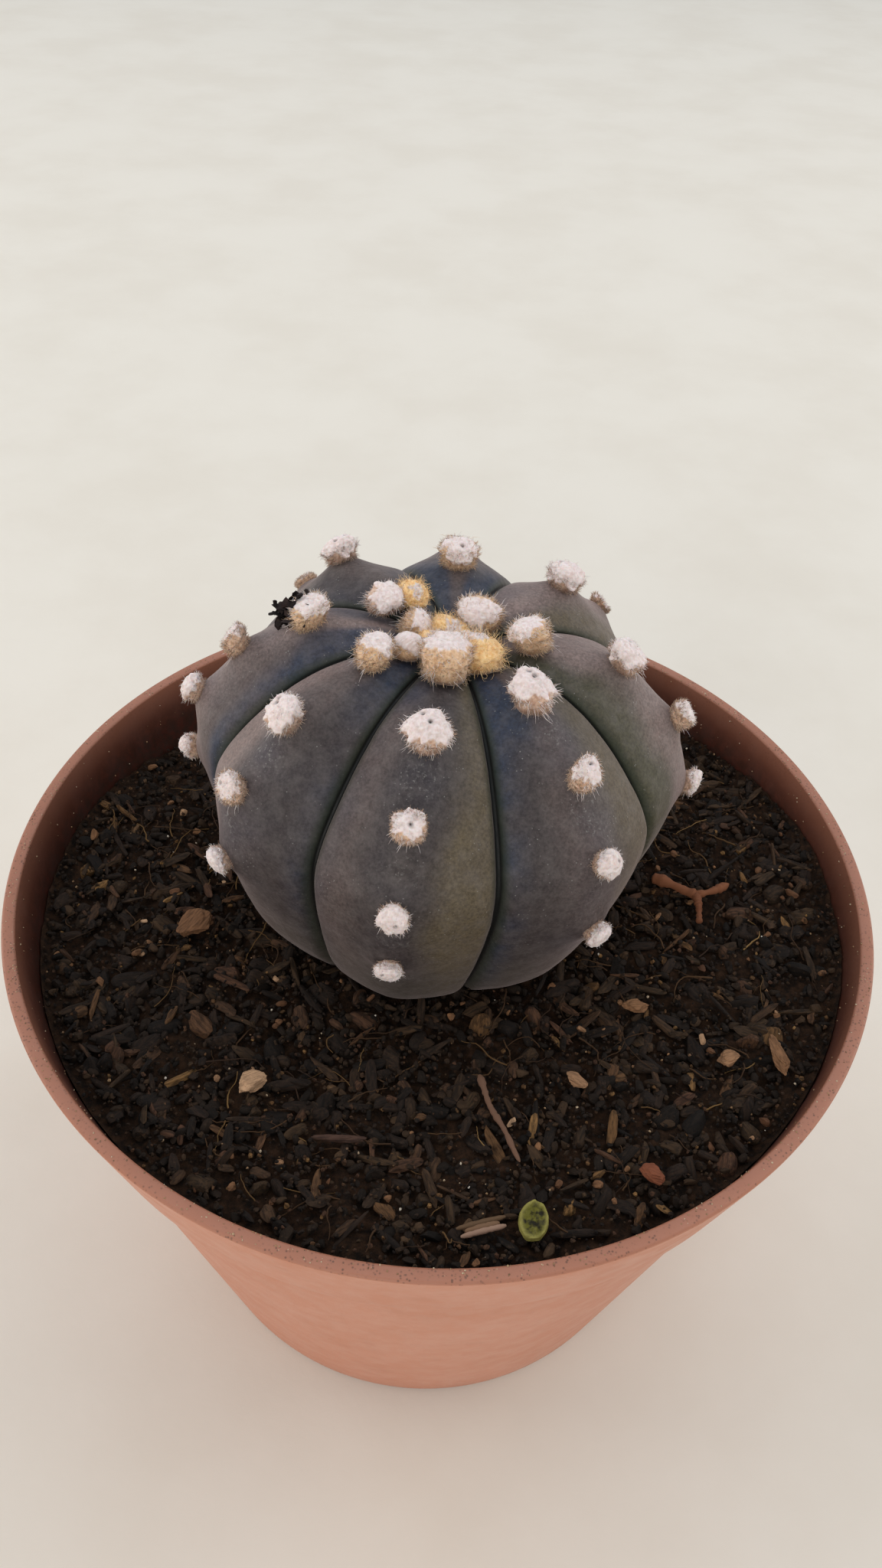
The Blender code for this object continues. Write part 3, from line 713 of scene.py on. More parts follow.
@dataclass
class NurseryPot:
    """The moulded pot: a foot ring, a tapered wall, a stepped collar and drain holes."""

    height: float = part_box("pot")[1].z
    edge: float = 0.6 * MM
    foot_edge: float = 0.8 * MM
    rim_radius: float = 55.15 * MM
    lip: float = 1.7 * MM
    collar_height: float = 13.9 * MM
    collar_base: float = 52.0 * MM
    shoulder: float = 51.1 * MM
    base: float = 38.7 * MM
    wall: float = 1.4 * MM
    floor: float = 1.6 * MM
    foot_height: float = 1.5 * MM
    foot_width: float = 3.2 * MM
    centre_drain: float = 4.0 * MM
    drain: float = 3.5 * MM
    drain_pitch: float = 23.5 * MM
    drains: int = 8
    segments: int = 288
    drain_segments: int = 64
    corner_steps: int = 6
    lip_grains: int = 900
    grain_on_lip: float = 0.72

    def __post_init__(self) -> None:
        """Works out the heights that the others give."""
        self.collar_bottom = self.height - self.collar_height
        self.ledge = self.collar_bottom + self.wall
        self.floor_top = self.foot_height + self.floor

    def wall_radius(self, z: float) -> float:
        """Inner radius of the tapered wall below the collar."""
        return self.base + (self.shoulder - self.base) * z / self.collar_bottom - self.wall

    def collar_radius(self, z: Array | float) -> Array | float:
        """Inner radius of the collar, from its ledge up to the lip."""
        low = self.collar_base - self.wall
        return low + (self.rim_radius - self.lip - low) * (z - self.ledge) / (self.height - self.ledge)

    def outline(self) -> list[Vector]:
        """The closed section of the wall, with its corners rounded."""
        corners = (
            (self.centre_drain, self.foot_height, 0.0),
            (self.base - self.foot_width, self.foot_height, 0.3 * MM),
            (self.base - self.foot_width, 0.0, self.edge),
            (self.base, 0.0, self.foot_edge),
            (self.shoulder, self.collar_bottom, 0.4 * MM),
            (self.collar_base, self.collar_bottom, 0.35 * MM),
            (self.rim_radius, self.height, 0.35 * MM),
            (self.rim_radius - self.lip, self.height, 0.35 * MM),
            (self.collar_radius(self.ledge), self.ledge, 0.3 * MM),
            (self.wall_radius(self.ledge), self.ledge, 0.3 * MM),
            (self.wall_radius(self.floor_top), self.floor_top, 0.5 * MM),
            (self.centre_drain, self.floor_top, 0.0),
        )
        outline = []
        for i, (r, z, rounding) in enumerate(corners):
            here = Vector((r, z))
            back = (Vector(corners[i - 1][:2]) - here).normalized()
            ahead = (Vector(corners[(i + 1) % len(corners)][:2]) - here).normalized()
            if rounding == 0.0:
                outline.append(here)
                continue
            half = back.angle(ahead) / 2
            centre = here + (back + ahead).normalized() * (rounding / math.sin(half))
            start = here + back * (rounding / math.tan(half)) - centre
            turn = start.angle_signed(here + ahead * (rounding / math.tan(half)) - centre)
            for step in range(self.corner_steps + 1):
                outline.append(centre + Matrix.Rotation(-turn * step / self.corner_steps, 2) @ start)
        return outline

    def filled_in(self, outline: list[Vector], longest: float = 4 * MM) -> list[Vector]:
        """The outline with points added along its long straight runs."""
        filled = []
        for here, there in zip(outline, outline[1:] + outline[:1]):
            parts = max(1, math.ceil((there - here).length / longest))
            filled += [here.lerp(there, part / parts) for part in range(parts)]
        return filled

    def build(self) -> None:
        """Turns the section round the axis, cuts the drain holes and dresses the pot."""
        section = np.array([tuple(p) for p in self.filled_in(self.outline())])
        turns = 2 * math.pi * np.arange(self.segments) / self.segments
        around = np.stack([np.cos(turns), np.sin(turns)], axis=-1)
        rings = np.concatenate(
            [
                section[:, None, :1] * around[None],
                np.broadcast_to(section[:, None, 1:], (len(section), self.segments, 1)),
            ],
            axis=-1,
        )
        rings = np.concatenate([rings, rings[:1]])
        draft = MeshDraft()
        faces = grid_faces(len(section) + 1, self.segments) % (len(section) * self.segments)
        draft.add(rings[:-1].reshape(-1, 3), faces)
        pot = draft.make("nursery_pot", finish_of("pot_plastic"), 40)
        self.cut_drains(pot)
        self.stain(pot)
        settle(pot, "pot_plastic", "pot")
        self.scatter_lip_grit()

    def cut_drains(self, pot: bpy.types.Object) -> None:
        """Cuts the ring of drain holes through the floor."""
        shell = bmesh.new()
        for i in range(self.drains):
            turn = 2 * math.pi * (i + 0.5) / self.drains
            x, y = self.drain_pitch * math.cos(turn), self.drain_pitch * math.sin(turn)
            bmesh.ops.create_cone(
                shell,
                cap_ends=True,
                segments=self.drain_segments,
                radius1=self.drain,
                radius2=self.drain,
                depth=self.floor_top * 2,
                matrix=Matrix.Translation((x, y, self.floor_top / 2)),
            )
        mesh = bpy.data.meshes.new("drain_cutter")
        shell.to_mesh(mesh)
        shell.free()
        cutter = bpy.data.objects.new("drain_cutter", mesh)
        bpy.context.scene.collection.objects.link(cutter)
        cut = pot.modifiers.new("drains", "BOOLEAN")
        cut.object = cutter
        evaluated = pot.evaluated_get(bpy.context.evaluated_depsgraph_get())
        done = bpy.data.meshes.new_from_object(evaluated)
        pot.modifiers.clear()
        pot.data = done
        bpy.data.objects.remove(cutter)

    def stain(self, pot: bpy.types.Object) -> None:
        """Gives the mesh its values for the inside's stain and painted shade, the gritty lip and the
        soil marks.
        """
        mesh = pot.data
        points = np.empty(len(mesh.vertices) * 3, np.float32)
        mesh.vertices.foreach_get("co", points)
        points = points.reshape(-1, 3).astype(float)
        out = np.hypot(points[:, 0], points[:, 1])
        inner = self.collar_radius(points[:, 2]) + 0.35 * self.lip
        inside = eased(inner - out, -0.2 * MM, 0.3 * MM)
        inside *= eased(points[:, 2], self.floor_top - MM, self.floor_top)
        depth = self.height - points[:, 2]
        values = {
            # Darker deeper down the inner wall: painted shade.
            "inside": inside * (0.8 + 0.2 * eased(depth, 0.5 * MM, 7 * MM)),
            "lip": eased(points[:, 2], self.height - 0.45 * MM, self.height - 0.1 * MM) * 0.9,
            "soil": inside * eased(depth, 2 * MM, 8 * MM),
        }
        for name, value in values.items():
            held = mesh.attributes.new(name, "FLOAT", "POINT")
            held.data.foreach_set("value", value.astype(np.float32))

    def scatter_lip_grit(self) -> None:
        """Sticks fine sandy grains on the lip and on the inner wall under it."""
        chance = np.random.default_rng(41)
        draft = MeshDraft()
        for _ in range(self.lip_grains):
            turn = chance.uniform(0, 2 * math.pi)
            size = chance.uniform(0.05, 0.13) * MM
            if chance.random() < self.grain_on_lip:
                r = self.rim_radius - self.lip * chance.uniform(0.25, 1.0)
                z = self.height - 0.02 * MM
            else:
                z = self.height - chance.uniform(0.6, 7.0) * MM
                r = self.collar_radius(z) - 0.01 * MM
            shape, faces = ball(1)
            shape = shape * chance.uniform(0.6, 1.3, 3) * size
            draft.add(
                shape + np.array([r * math.cos(turn), r * math.sin(turn), z]),
                faces,
                tone=chance.uniform(0.0, 0.75),
                grain=shape,
            )
        settle(draft.make("lip_grit", finish_of("grit")), "pot_plastic")


# The potting mix


@dataclass(frozen=True)
class Litter:
    """One kind of loose bit of the mix: its finish, number and sizes, and how it lies.

    Half its length, width and thickness in millimetres are its shape times its scale, each drawn
    from its range where it has one. Its middle lies under the mix's level by its sink, a share of
    its half thickness, and its lie is the spread of its tilt in radians.
    """

    name: str
    finish: str
    slot: str
    count: int
    scale: Range | None
    shape: tuple[float | Range, ...]
    cuts: int
    sink: float
    seed: int
    tones: Range
    lie: float = 0.5

    def size(self, chance: np.random.Generator) -> Array:
        """Half the length, width and thickness of one bit."""
        scale = chance.uniform(*self.scale) if self.scale else 1.0
        drawn = [chance.uniform(*each) if isinstance(each, tuple) else each for each in self.shape]
        return scale * np.array(drawn) * MM


DARK_LITTER = (
    Litter(
        "mix_small_lumps",
        "charcoal",
        "potting_mix",
        count=2450,
        scale=(0.25, 0.80),
        shape=((1.0, 1.7), (0.6, 1.0), 0.7),
        cuts=2,
        sink=0.35,
        seed=11,
        tones=(2, 3),
    ),
    Litter(
        "mix_big_lumps",
        "bark",
        "bark",
        count=420,
        scale=(0.85, 1.7),
        shape=((0.9, 1.6), (0.6, 1.0), 0.6),
        cuts=3,
        sink=0.45,
        seed=12,
        tones=(1.6, 3),
    ),
    Litter(
        "mix_slivers",
        "bark",
        "bark",
        count=520,
        scale=None,
        shape=((0.9, 2.9), (0.25, 0.8), (0.18, 0.45)),
        cuts=3,
        sink=-0.2,
        seed=13,
        tones=(1.8, 2.4),
        lie=0.22,
    ),
    Litter(
        "mix_crumbs",
        "bark",
        "potting_mix",
        count=8600,
        scale=(0.12, 0.38),
        shape=((0.6, 1.2),) * 3,
        cuts=1,
        sink=-0.6,
        seed=14,
        tones=(1.6, 2.6),
        lie=1.0,
    ),
)
PALE_LITTER = (
    Litter(
        "mix_tan_bits",
        "pale_chip",
        "pale_chip",
        count=130,
        scale=(0.22, 0.75),
        shape=((0.8, 1.6), 0.8, 0.6),
        cuts=2,
        sink=-0.6,
        seed=17,
        tones=(1.5, 2.5),
        lie=0.6,
    ),
    Litter(
        "mix_grains",
        "grit",
        "pale_chip",
        count=210,
        scale=(0.06, 0.22),
        shape=((0.7, 1.2),) * 3,
        cuts=1,
        sink=-1.6,
        seed=15,
        tones=(1.2, 1.6),
        lie=1.0,
    ),
)


@dataclass
class PottingMix:
    """The mix: a rough filling under a cover of bark, charcoal, fibres and grit."""

    pot: NurseryPot
    below_rim: float = 8.8 * MM
    slope: float = 0.022
    edge_rise: float = 4.0 * MM
    back_fall: float = 0.10
    back_start: float = 12.0 * MM
    hollow: float = 1.6 * MM
    hollow_centre: tuple[float, float] = (-36 * MM, 34 * MM)
    hollow_radius: float = 14 * MM
    rows: int = 74
    columns: int = 600
    ground_drop: float = 0.9 * MM
    wall_gap: float = 0.3 * MM
    socket_gap: float = 0.8 * MM
    tip_gap: float = 2 * MM
    tries: int = 60
    stem_room: float = 0.35
    flats: int = 7
    blockiness: float = 0.78
    covered_drop: float = 0.1 * MM
    fibre_count: int = 300
    fibre_steps: int = 14
    keep_clear: list[tuple[float, float, float]] = field(default_factory=list)

    def level(self, x: Array | float, y: Array | float) -> Array:
        """Height of the mix's surface."""
        x, y = np.asarray(x, float), np.asarray(y, float)
        level = self.pot.height - self.below_rim + self.slope * x
        level = level + self.edge_rise * (x * x + y * y) / self.pot.rim_radius**2
        level = level - self.back_fall * np.maximum(y - self.back_start, 0.0)
        away = np.hypot(x - self.hollow_centre[0], y - self.hollow_centre[1]) / self.hollow_radius
        return level - self.hollow * np.exp(-away * away)

    def wall_at(self, z: Array | float) -> Array:
        """Radius of the pot's inner wall at this height, less a hair."""
        return self.pot.collar_radius(z) - self.wall_gap

    def build(self, stem: "Stem") -> None:
        """Builds the filling and scatters its cover."""
        self.build_filling(stem)
        for litter in DARK_LITTER:
            self.scatter(litter, stem)
        self.scatter_fibres(stem)
        for litter in PALE_LITTER:
            self.scatter(litter, stem)

    def build_filling(self, stem: "Stem") -> None:
        """One closed body: rough on top, smooth against the pot, with a socket for the root."""
        turns = np.degrees(2 * math.pi * np.arange(self.columns) / self.columns)
        away = np.stack([np.sin(np.radians(turns)), -np.cos(np.radians(turns))], axis=-1)
        contacts = stem.contact(turns)
        inner = stem.shape.point(turns, contacts)[:, :2] - away * self.socket_gap
        edge = self.wall_at(self.pot.height - self.below_rim)
        outer = away * edge
        for _ in range(3):
            outer = away * self.wall_at(self.level(outer[:, 0], outer[:, 1]))[:, None]
        shares = np.linspace(0, 1, self.rows)[:, None, None]
        flat = inner[None] * (1 - shares) + outer[None] * shares
        places = np.concatenate([flat, np.zeros((*flat.shape[:2], 1))], axis=-1)
        rough = rough_noise(places, 3.2 * MM, 5, 4) * 0.55 * MM
        rough += rough_noise(places, 0.9 * MM, 9, 2) * 0.22 * MM
        height = self.level(flat[..., 0], flat[..., 1]) - self.ground_drop + rough
        rim = eased(shares[..., 0], 0.97, 1.0) * 0.5 * MM
        places[..., 2] = height + rim
        rings = [places]
        pot, gap = self.pot, self.wall_gap
        ledge, low = pot.ledge + gap, pot.floor_top + gap
        side = (
            (pot.collar_radius(pot.ledge) - gap, ledge),
            (pot.wall_radius(pot.ledge) - gap, ledge),
            (pot.wall_radius(pot.floor_top) - gap, low),
            (gap, low),
        )
        for radius, z in side:
            ring = np.concatenate([away * radius, np.full((self.columns, 1), z)], axis=-1)
            rings.append(ring[None])
        socket = []
        for share in (0.04, 0.3, 0.6, 1.0):
            arcs = contacts + (stem.shape.root_end - self.tip_gap - contacts) * share
            socket.append(stem.shape.point(turns, arcs))
        socket = [ring[None] for ring in reversed(socket)]
        grid = np.concatenate(socket + rings)
        draft = MeshDraft()
        faces = grid_faces(len(grid), self.columns)[:, ::-1]
        ring = np.arange(self.columns)[None]
        last = ring[:, ::-1] + (len(grid) - 1) * self.columns
        draft.add(grid.reshape(-1, 3), [faces, ring, last])
        filling = draft.make("potting_mix_filling", finish_of("potting_mix"))
        settle(filling, "potting_mix", "potting_mix")

    def places(self, count: int, margin: Array, stem: "Stem", chance: np.random.Generator) -> Array:
        """Scattered places on the mix, clear of the wall and the stem.

        Args:
            count: How many places are wanted.
            margin: How much room each needs.
            stem: The plant to keep clear of.
            chance: The source of chance.

        Returns:
            Rows of x and y.
        """
        found = np.zeros((count, 2))
        left = np.ones(count, bool)
        reach = self.pot.rim_radius
        for _ in range(self.tries):
            tries = chance.uniform(-reach, reach, (int(left.sum()), 2))
            wall = self.wall_at(self.level(tries[:, 0], tries[:, 1])) - margin[left]
            fits = np.hypot(*tries.T) < wall
            fits &= stem.clearance(tries) > margin[left] * self.stem_room
            index = np.flatnonzero(left)[fits]
            found[index] = tries[fits]
            left[index] = False
            if not left.any():
                break
        return found

    def is_covered(self, x: float, y: float, room: float) -> bool:
        """True where a loose piece lies, so that nothing may stand up through it."""
        return any(math.hypot(x - cx, y - cy) < reach + room for cx, cy, reach in self.keep_clear)

    def lump(self, cuts: int, chance: np.random.Generator, size: Array) -> tuple[Array, Array]:
        """An angular lump: a ball with flats cut on it at random, stretched to its size."""
        points, faces = ball(cuts)
        points = np.sign(points) * np.abs(points) ** self.blockiness
        for normal in unit(chance.normal(size=(self.flats, 3))):
            over = np.maximum(points @ normal - chance.uniform(0.5, 0.95), 0.0)
            points -= over[:, None] * normal
        rough = rough_noise(points, 0.7, int(chance.integers(1, 9999)), 2)
        points += unit(points) * (rough * 0.10)[:, None]
        return points * size, faces

    def scatter(self, litter: Litter, stem: "Stem") -> None:
        """Scatters the bits of one kind over the mix and joins them into one piece.

        Args:
            litter: The kind of bit.
            stem: The plant to keep clear of.
        """
        chance = np.random.default_rng(litter.seed)
        extents = np.array([litter.size(chance) for _ in range(litter.count)])
        spots = self.places(litter.count, extents.max(axis=1) * 0.9, stem, chance)
        levels = self.level(spots[:, 0], spots[:, 1])
        draft = MeshDraft()
        for (x, y), level, size in zip(spots, levels, extents):
            shape, faces = self.lump(litter.cuts, chance, size)
            turn = Matrix.Rotation(chance.uniform(0, 2 * math.pi), 3, "Z")
            nod = Matrix.Rotation(chance.normal(0, litter.lie), 3, "Y")
            roll = Matrix.Rotation(chance.normal(0, litter.lie), 3, "X")
            turned = shape @ np.array(turn @ (nod @ roll)).T
            top = turned[:, 2].max()
            z = level - litter.sink * top - chance.uniform(0, 0.45) * MM
            if self.is_covered(x, y, size[0] * 0.6):
                z = min(z, level - top - self.covered_drop)
            tone = chance.beta(*litter.tones)
            grain = shape + chance.uniform(0, 1, 3)
            draft.add(turned + np.array([x, y, z]), faces, tone=tone, grain=grain)
        settle(draft.make(litter.name, finish_of(litter.finish), 32), litter.slot)

    def scatter_fibres(self, stem: "Stem") -> None:
        """Thin root and peat fibres lying on the mix."""
        chance = np.random.default_rng(16)
        count, steps = self.fibre_count, self.fibre_steps
        lengths = chance.uniform(2.5, 9.0, count) * MM
        spots = self.places(count, lengths * 0.4, stem, chance)
        turns = chance.uniform(0, 2 * math.pi, count)
        headings = np.stack([np.cos(turns), np.sin(turns), np.zeros_like(turns)], axis=-1)
        middles = np.concatenate([spots, np.zeros((count, 1))], axis=-1)
        starts = middles - headings * lengths[:, None] / 2
        paths = wandering(starts, headings, lengths, 0.22, steps, chance)
        lift = chance.uniform(-0.5, 0.45, (count, 1)) * MM
        phases = np.linspace(0, 1, steps)[None] * chance.uniform(2, 7, (count, 1))
        level = self.level(paths[..., 0], paths[..., 1])
        paths[..., 2] = level + lift + np.sin(phases) * 0.3 * MM
        reach = self.wall_at(self.pot.height - self.below_rim) - MM
        kept = np.hypot(paths[..., 0], paths[..., 1]).max(axis=1) < reach
        clear = stem.clearance(paths[..., :2].reshape(-1, 2)).reshape(count, -1)
        kept &= clear.min(axis=1) > 0
        taper = np.linspace(1.0, 0.45, steps)[None]
        radii = chance.uniform(0.05, 0.13, (count, 1)) * MM * taper
        draft = MeshDraft()
        tones = chance.beta(2, 2.6, count)
        add_rods(draft, paths[kept], radii[kept], 6, tone=tones[kept], grain=0.0)
        settle(draft.make("mix_fibres", finish_of("fibre")), "bark")


# The plant


@dataclass(frozen=True)
class Rib:
    """A rib: its azimuth in degrees from the front towards +X, its areoles and its skin's tones."""

    name: str
    azimuth: float
    first_areole: float
    areole_pitch: float
    areoles: int
    before: Tone
    crest: Tone
    after: Tone
    slate: tuple[float, float] = (0.2, 0.2)

    def arcs(self) -> list[float]:
        """Distances of its areoles from the crown, along the crest."""
        return [(self.first_areole + self.areole_pitch * i) * MM for i in range(self.areoles)]


# The rose tone, on the side-facing flanks of ribs c, d, g and h, is partly painted highlight.
RIBS = (
    Rib("a", -7.2, 18.6, 9.4, 4, Tone.MAUVE, Tone.UMBER, Tone.OLIVE, (0.35, 0.05)),
    Rib("b", 38.2, 14.6, 9.8, 4, Tone.UMBER, Tone.MAUVE, Tone.OLIVE, (1.2, 0.1)),
    Rib("c", 87.4, 20.3, 10.3, 3, Tone.MOSS, Tone.ROSE, Tone.ROSE, (0.0, 0.1)),
    Rib("d", 135.2, 18.9, 10.8, 3, Tone.OLIVE, Tone.ROSE, Tone.ROSE, (0.1, 0.2)),
    Rib("e", 180.6, 14.4, 10.2, 4, Tone.UMBER, Tone.MAUVE, Tone.UMBER, (0.7, 0.8)),
    Rib("f", 222.4, 22.1, 10.8, 3, Tone.MAUVE, Tone.MAUVE, Tone.UMBER, (0.5, 0.3)),
    Rib("g", 270.2, 17.4, 9.0, 4, Tone.MAUVE, Tone.ROSE, Tone.MAUVE, (0.4, 1.3)),
    Rib("h", 309.6, 23.4, 9.7, 3, Tone.ROSE, Tone.MAUVE, Tone.UMBER, (0.1, 0.6)),
)


@dataclass(frozen=True)
class StemShape:
    """The plant's outline and its ribs, as a point for each azimuth and distance from the crown."""

    mix: PottingMix
    radius: float = 30.3 * MM
    height: float = 40.3 * MM
    root_depth: float = 28.0 * MM
    offset: tuple[float, float] = (-2.3 * MM, 7.0 * MM)
    lean: float = 3.3
    crown_fold: float = 0.33
    waist_fold: float = 0.065
    fold_drop: float = 0.21
    crest_round: float = 0.15
    crease_depth: float = 1.0 * MM
    crease_width: float = 0.85 * MM
    crease_fade: float = 6.0 * MM
    crest_outline: tuple[tuple[float, float], ...] = (
        (0.0, 0.94), (0.35, 1.0), (0.69, 0.94), (0.94, 0.73), (1.0, 0.53), (0.89, 0.20), (0.74, -0.015)
    )
    root_outline: tuple[tuple[float, float], ...] = (
        (0.46, -0.30), (0.20, -0.55), (0.085, -0.85), (0.0, -1.0)
    )
    curve_steps: int = 24

    @functools.cached_property
    def crest(self) -> tuple[Array, Array, Array]:
        """Distance along a crest, radius and height of points from the crown to the root's tip."""
        stem = [(self.radius * r, self.height * z) for r, z in self.crest_outline]
        root = [(self.radius * r, self.root_depth * z) for r, z in self.root_outline]
        knots = np.array(stem + root)
        ends = np.concatenate([[knots[1] * [-1, 1]], knots, [knots[-1]]])
        t = (np.arange(self.curve_steps) / self.curve_steps)[:, None]
        spans = []
        for a, b, c, d in zip(ends, ends[1:], ends[2:], ends[3:]):
            square = (a * 2 - b * 5 + c * 4 - d) * t**2 / 2
            cube = (b * 3 - a - c * 3 + d) * t**3 / 2
            spans.append(b + (c - a) * t / 2 + square + cube)
        curve = np.concatenate([*spans, ends[-1:]])
        steps = np.hypot(*np.diff(curve, axis=0).T)
        return np.concatenate([[0.0], np.cumsum(steps)]), curve[:, 0], curve[:, 1]

    @property
    def root_end(self) -> float:
        """How far along the skin the root's tip is."""
        return float(self.crest[0][-1])

    @property
    def waist_arc(self) -> float:
        """How far along the skin the stem is widest."""
        return float(self.crest[0][int(np.argmax(self.crest[1]))])

    @property
    def mix_arc(self) -> float:
        """How far along the skin the height falls to that of the mix."""
        return float(self.crest[0][int(np.argmax(self.crest[2] < 0.0))])

    def flank(self, azimuth: Array) -> tuple[Array, Array, Array, Array]:
        """Where azimuths lie between crests.

        Args:
            azimuth: Degrees from the front.

        Returns:
            The number of the rib, -1 to 1 across it with 0 on its crest, the share from the crest
            to the groove, and the angle to the groove in radians.
        """
        crests = np.array([rib.azimuth for rib in RIBS])
        turned = (np.asarray(azimuth, float) - crests[0]) % 360 + crests[0]
        edges = np.append(crests, crests[0] + 360)
        low = np.clip(np.searchsorted(edges, turned, side="right") - 1, 0, len(crests) - 1)
        half = (edges[low + 1] - edges[low]) / 2
        past = turned - edges[low]
        second = past > half
        share = np.where(second, 2 * half - past, past) / half
        rib = np.where(second, (low + 1) % len(crests), low)
        across = np.where(second, -share, share)
        return rib, across, share, np.radians(half * (1 - share))

    def leant(self, upright: Array) -> Array:
        """Points of the upright plant, leant over its foot on the mix."""
        foot = np.array([*self.offset, float(self.mix.level(*self.offset))])
        lean = np.array(Matrix.Rotation(math.radians(self.lean), 3, "Y"))
        return upright @ lean.T + foot

    def point(self, azimuth: Array, arc: Array) -> Array:
        """The skin's points at these azimuths and distances from the crown."""
        arcs, radii, heights = self.crest
        radius, height = np.interp(arc, arcs, radii), np.interp(arc, arcs, heights)
        _, _, share, to_groove = self.flank(azimuth)
        waist_height = float(heights[int(np.argmax(radii))])
        shown = 1 - np.clip((arc - self.mix_arc) / self.crease_fade, 0.0, 1.0)
        rise = np.cos(math.pi / 2 * np.minimum(arc / self.waist_arc, 1.0)) ** 2
        fold = (self.waist_fold + (self.crown_fold - self.waist_fold) * rise) * shown
        flat = np.hypot(1, self.crest_round) - self.crest_round
        fold = fold * (np.hypot(share, self.crest_round) - self.crest_round) / flat
        crease = self.crease_depth * np.exp(-((to_groove * radius / self.crease_width) ** 2)) * shown
        crease = crease * np.minimum(radius / self.radius * 4, 1.0)
        r = radius * (1 - fold) - crease
        z = height - fold * np.maximum(height - waist_height, 0.0) * self.fold_drop
        turn = np.radians(azimuth)
        return self.leant(np.stack([r * np.sin(turn), -r * np.cos(turn), z + 0 * turn], axis=-1))

    def crest_frame(
        self, azimuth: float, arc: float, step: float = 0.4 * MM
    ) -> tuple[Array, Array, Array]:
        """Where a crest would be here, with its outward normal and the way down it.

        Args:
            azimuth: Degrees from the front.
            arc: How far down the skin from the crown.
            step: How far to each side of this the slope is measured.

        Returns:
            The place and two directions.
        """
        arcs, radii, heights = self.crest
        ends = np.array([max(arc - step, 0.0), arc + step])
        r, z = np.interp(ends, arcs, radii), np.interp(ends, arcs, heights)
        out, fall = r[1] - r[0], z[1] - z[0]
        away = np.array([math.sin(math.radians(azimuth)), -math.cos(math.radians(azimuth)), 0.0])
        up = np.array([0.0, 0.0, 1.0])
        lean = np.array(Matrix.Rotation(math.radians(self.lean), 3, "Y"))
        place = self.leant((away * r.mean() + up * z.mean())[None])[0]
        return place, lean @ unit(up * out - away * fall), lean @ unit(away * out + up * fall)


class WoolLook(Enum):
    """The kinds of wool: how it is capped, how lumpy it is and what hangs from it."""

    RAGGED = "ragged"
    BRISTLY = "bristly"
    SMOOTH = "smooth"
    GOLDEN = "golden"
    CROWN = "crown"
    SHELL = "shell"


@dataclass(frozen=True)
class WoolRecipe:
    """How a kind of wool is made: its cap, its lumps, and how many hairs of each sort."""

    cap_edge: float
    ragged: float
    flare: float
    crumple: float
    bristles: int
    fringe: int = 0
    felt: int = 60
    hanging: int = 0
    curls: int = 0
    gold: float = 0.0


RECIPES = {
    WoolLook.RAGGED: WoolRecipe(0.50, 0.13, 0.32, 0.10, bristles=460, fringe=110, hanging=12),
    WoolLook.BRISTLY: WoolRecipe(
        0.31, 0.12, 0.14, 0.10, bristles=760, fringe=60, felt=50, hanging=8, gold=0.1
    ),
    WoolLook.SMOOTH: WoolRecipe(0.50, 0.12, 0.14, 0.12, bristles=320, fringe=50, hanging=6),
    WoolLook.GOLDEN: WoolRecipe(0.15, 0.09, 0.10, 0.16, bristles=160, felt=40, curls=420, gold=1.0),
    WoolLook.CROWN: WoolRecipe(
        0.38, 0.11, 0.22, 0.09, bristles=820, fringe=90, hanging=14, curls=30, gold=0.35
    ),
    WoolLook.SHELL: WoolRecipe(
        0.60, 0.05, 0.16, 0.08, bristles=120, fringe=30, felt=20, hanging=3, gold=0.4
    ),
}

# Rows of how far down a pad's side, how far out and how high its outline is, as shares.
PAD_PROFILE = np.array(
    [
        (0.00, 0.00, 1.00),
        (0.12, 0.40, 0.98),
        (0.26, 0.74, 0.90),
        (0.38, 0.94, 0.74),
        (0.48, 1.00, 0.55),
        (0.57, 0.90, 0.40),
        (0.68, 0.84, 0.24),
        (0.80, 0.90, 0.10),
        (0.90, 0.84, 0.00),
        (1.00, 0.00, -0.04),
    ]
)
HAIR_TAPER = np.array([1.0, 0.95, 0.8, 0.55, 0.2])
HAIR_SIDES = 3

# Directions in a tuft's own frame.
DOWN_RIB = np.array([1.0, 0.0, 0.0])
INWARD = np.array([0.0, 0.0, -1.0])


@dataclass(frozen=True)
class HairSort:
    """Hairs of one sort: how many, which of the pad's points they may start at, and their shape.

    Their length is a share of the pad's radius, and their thickness is in millimetres.
    """

    count: int
    starts: Array
    length: float
    thickness: float
    curl: float
    droop: float = 0.0
    sag: float = 0.0
    cap: float = 0.0
    shade: float = 0.0
    matted: bool = False


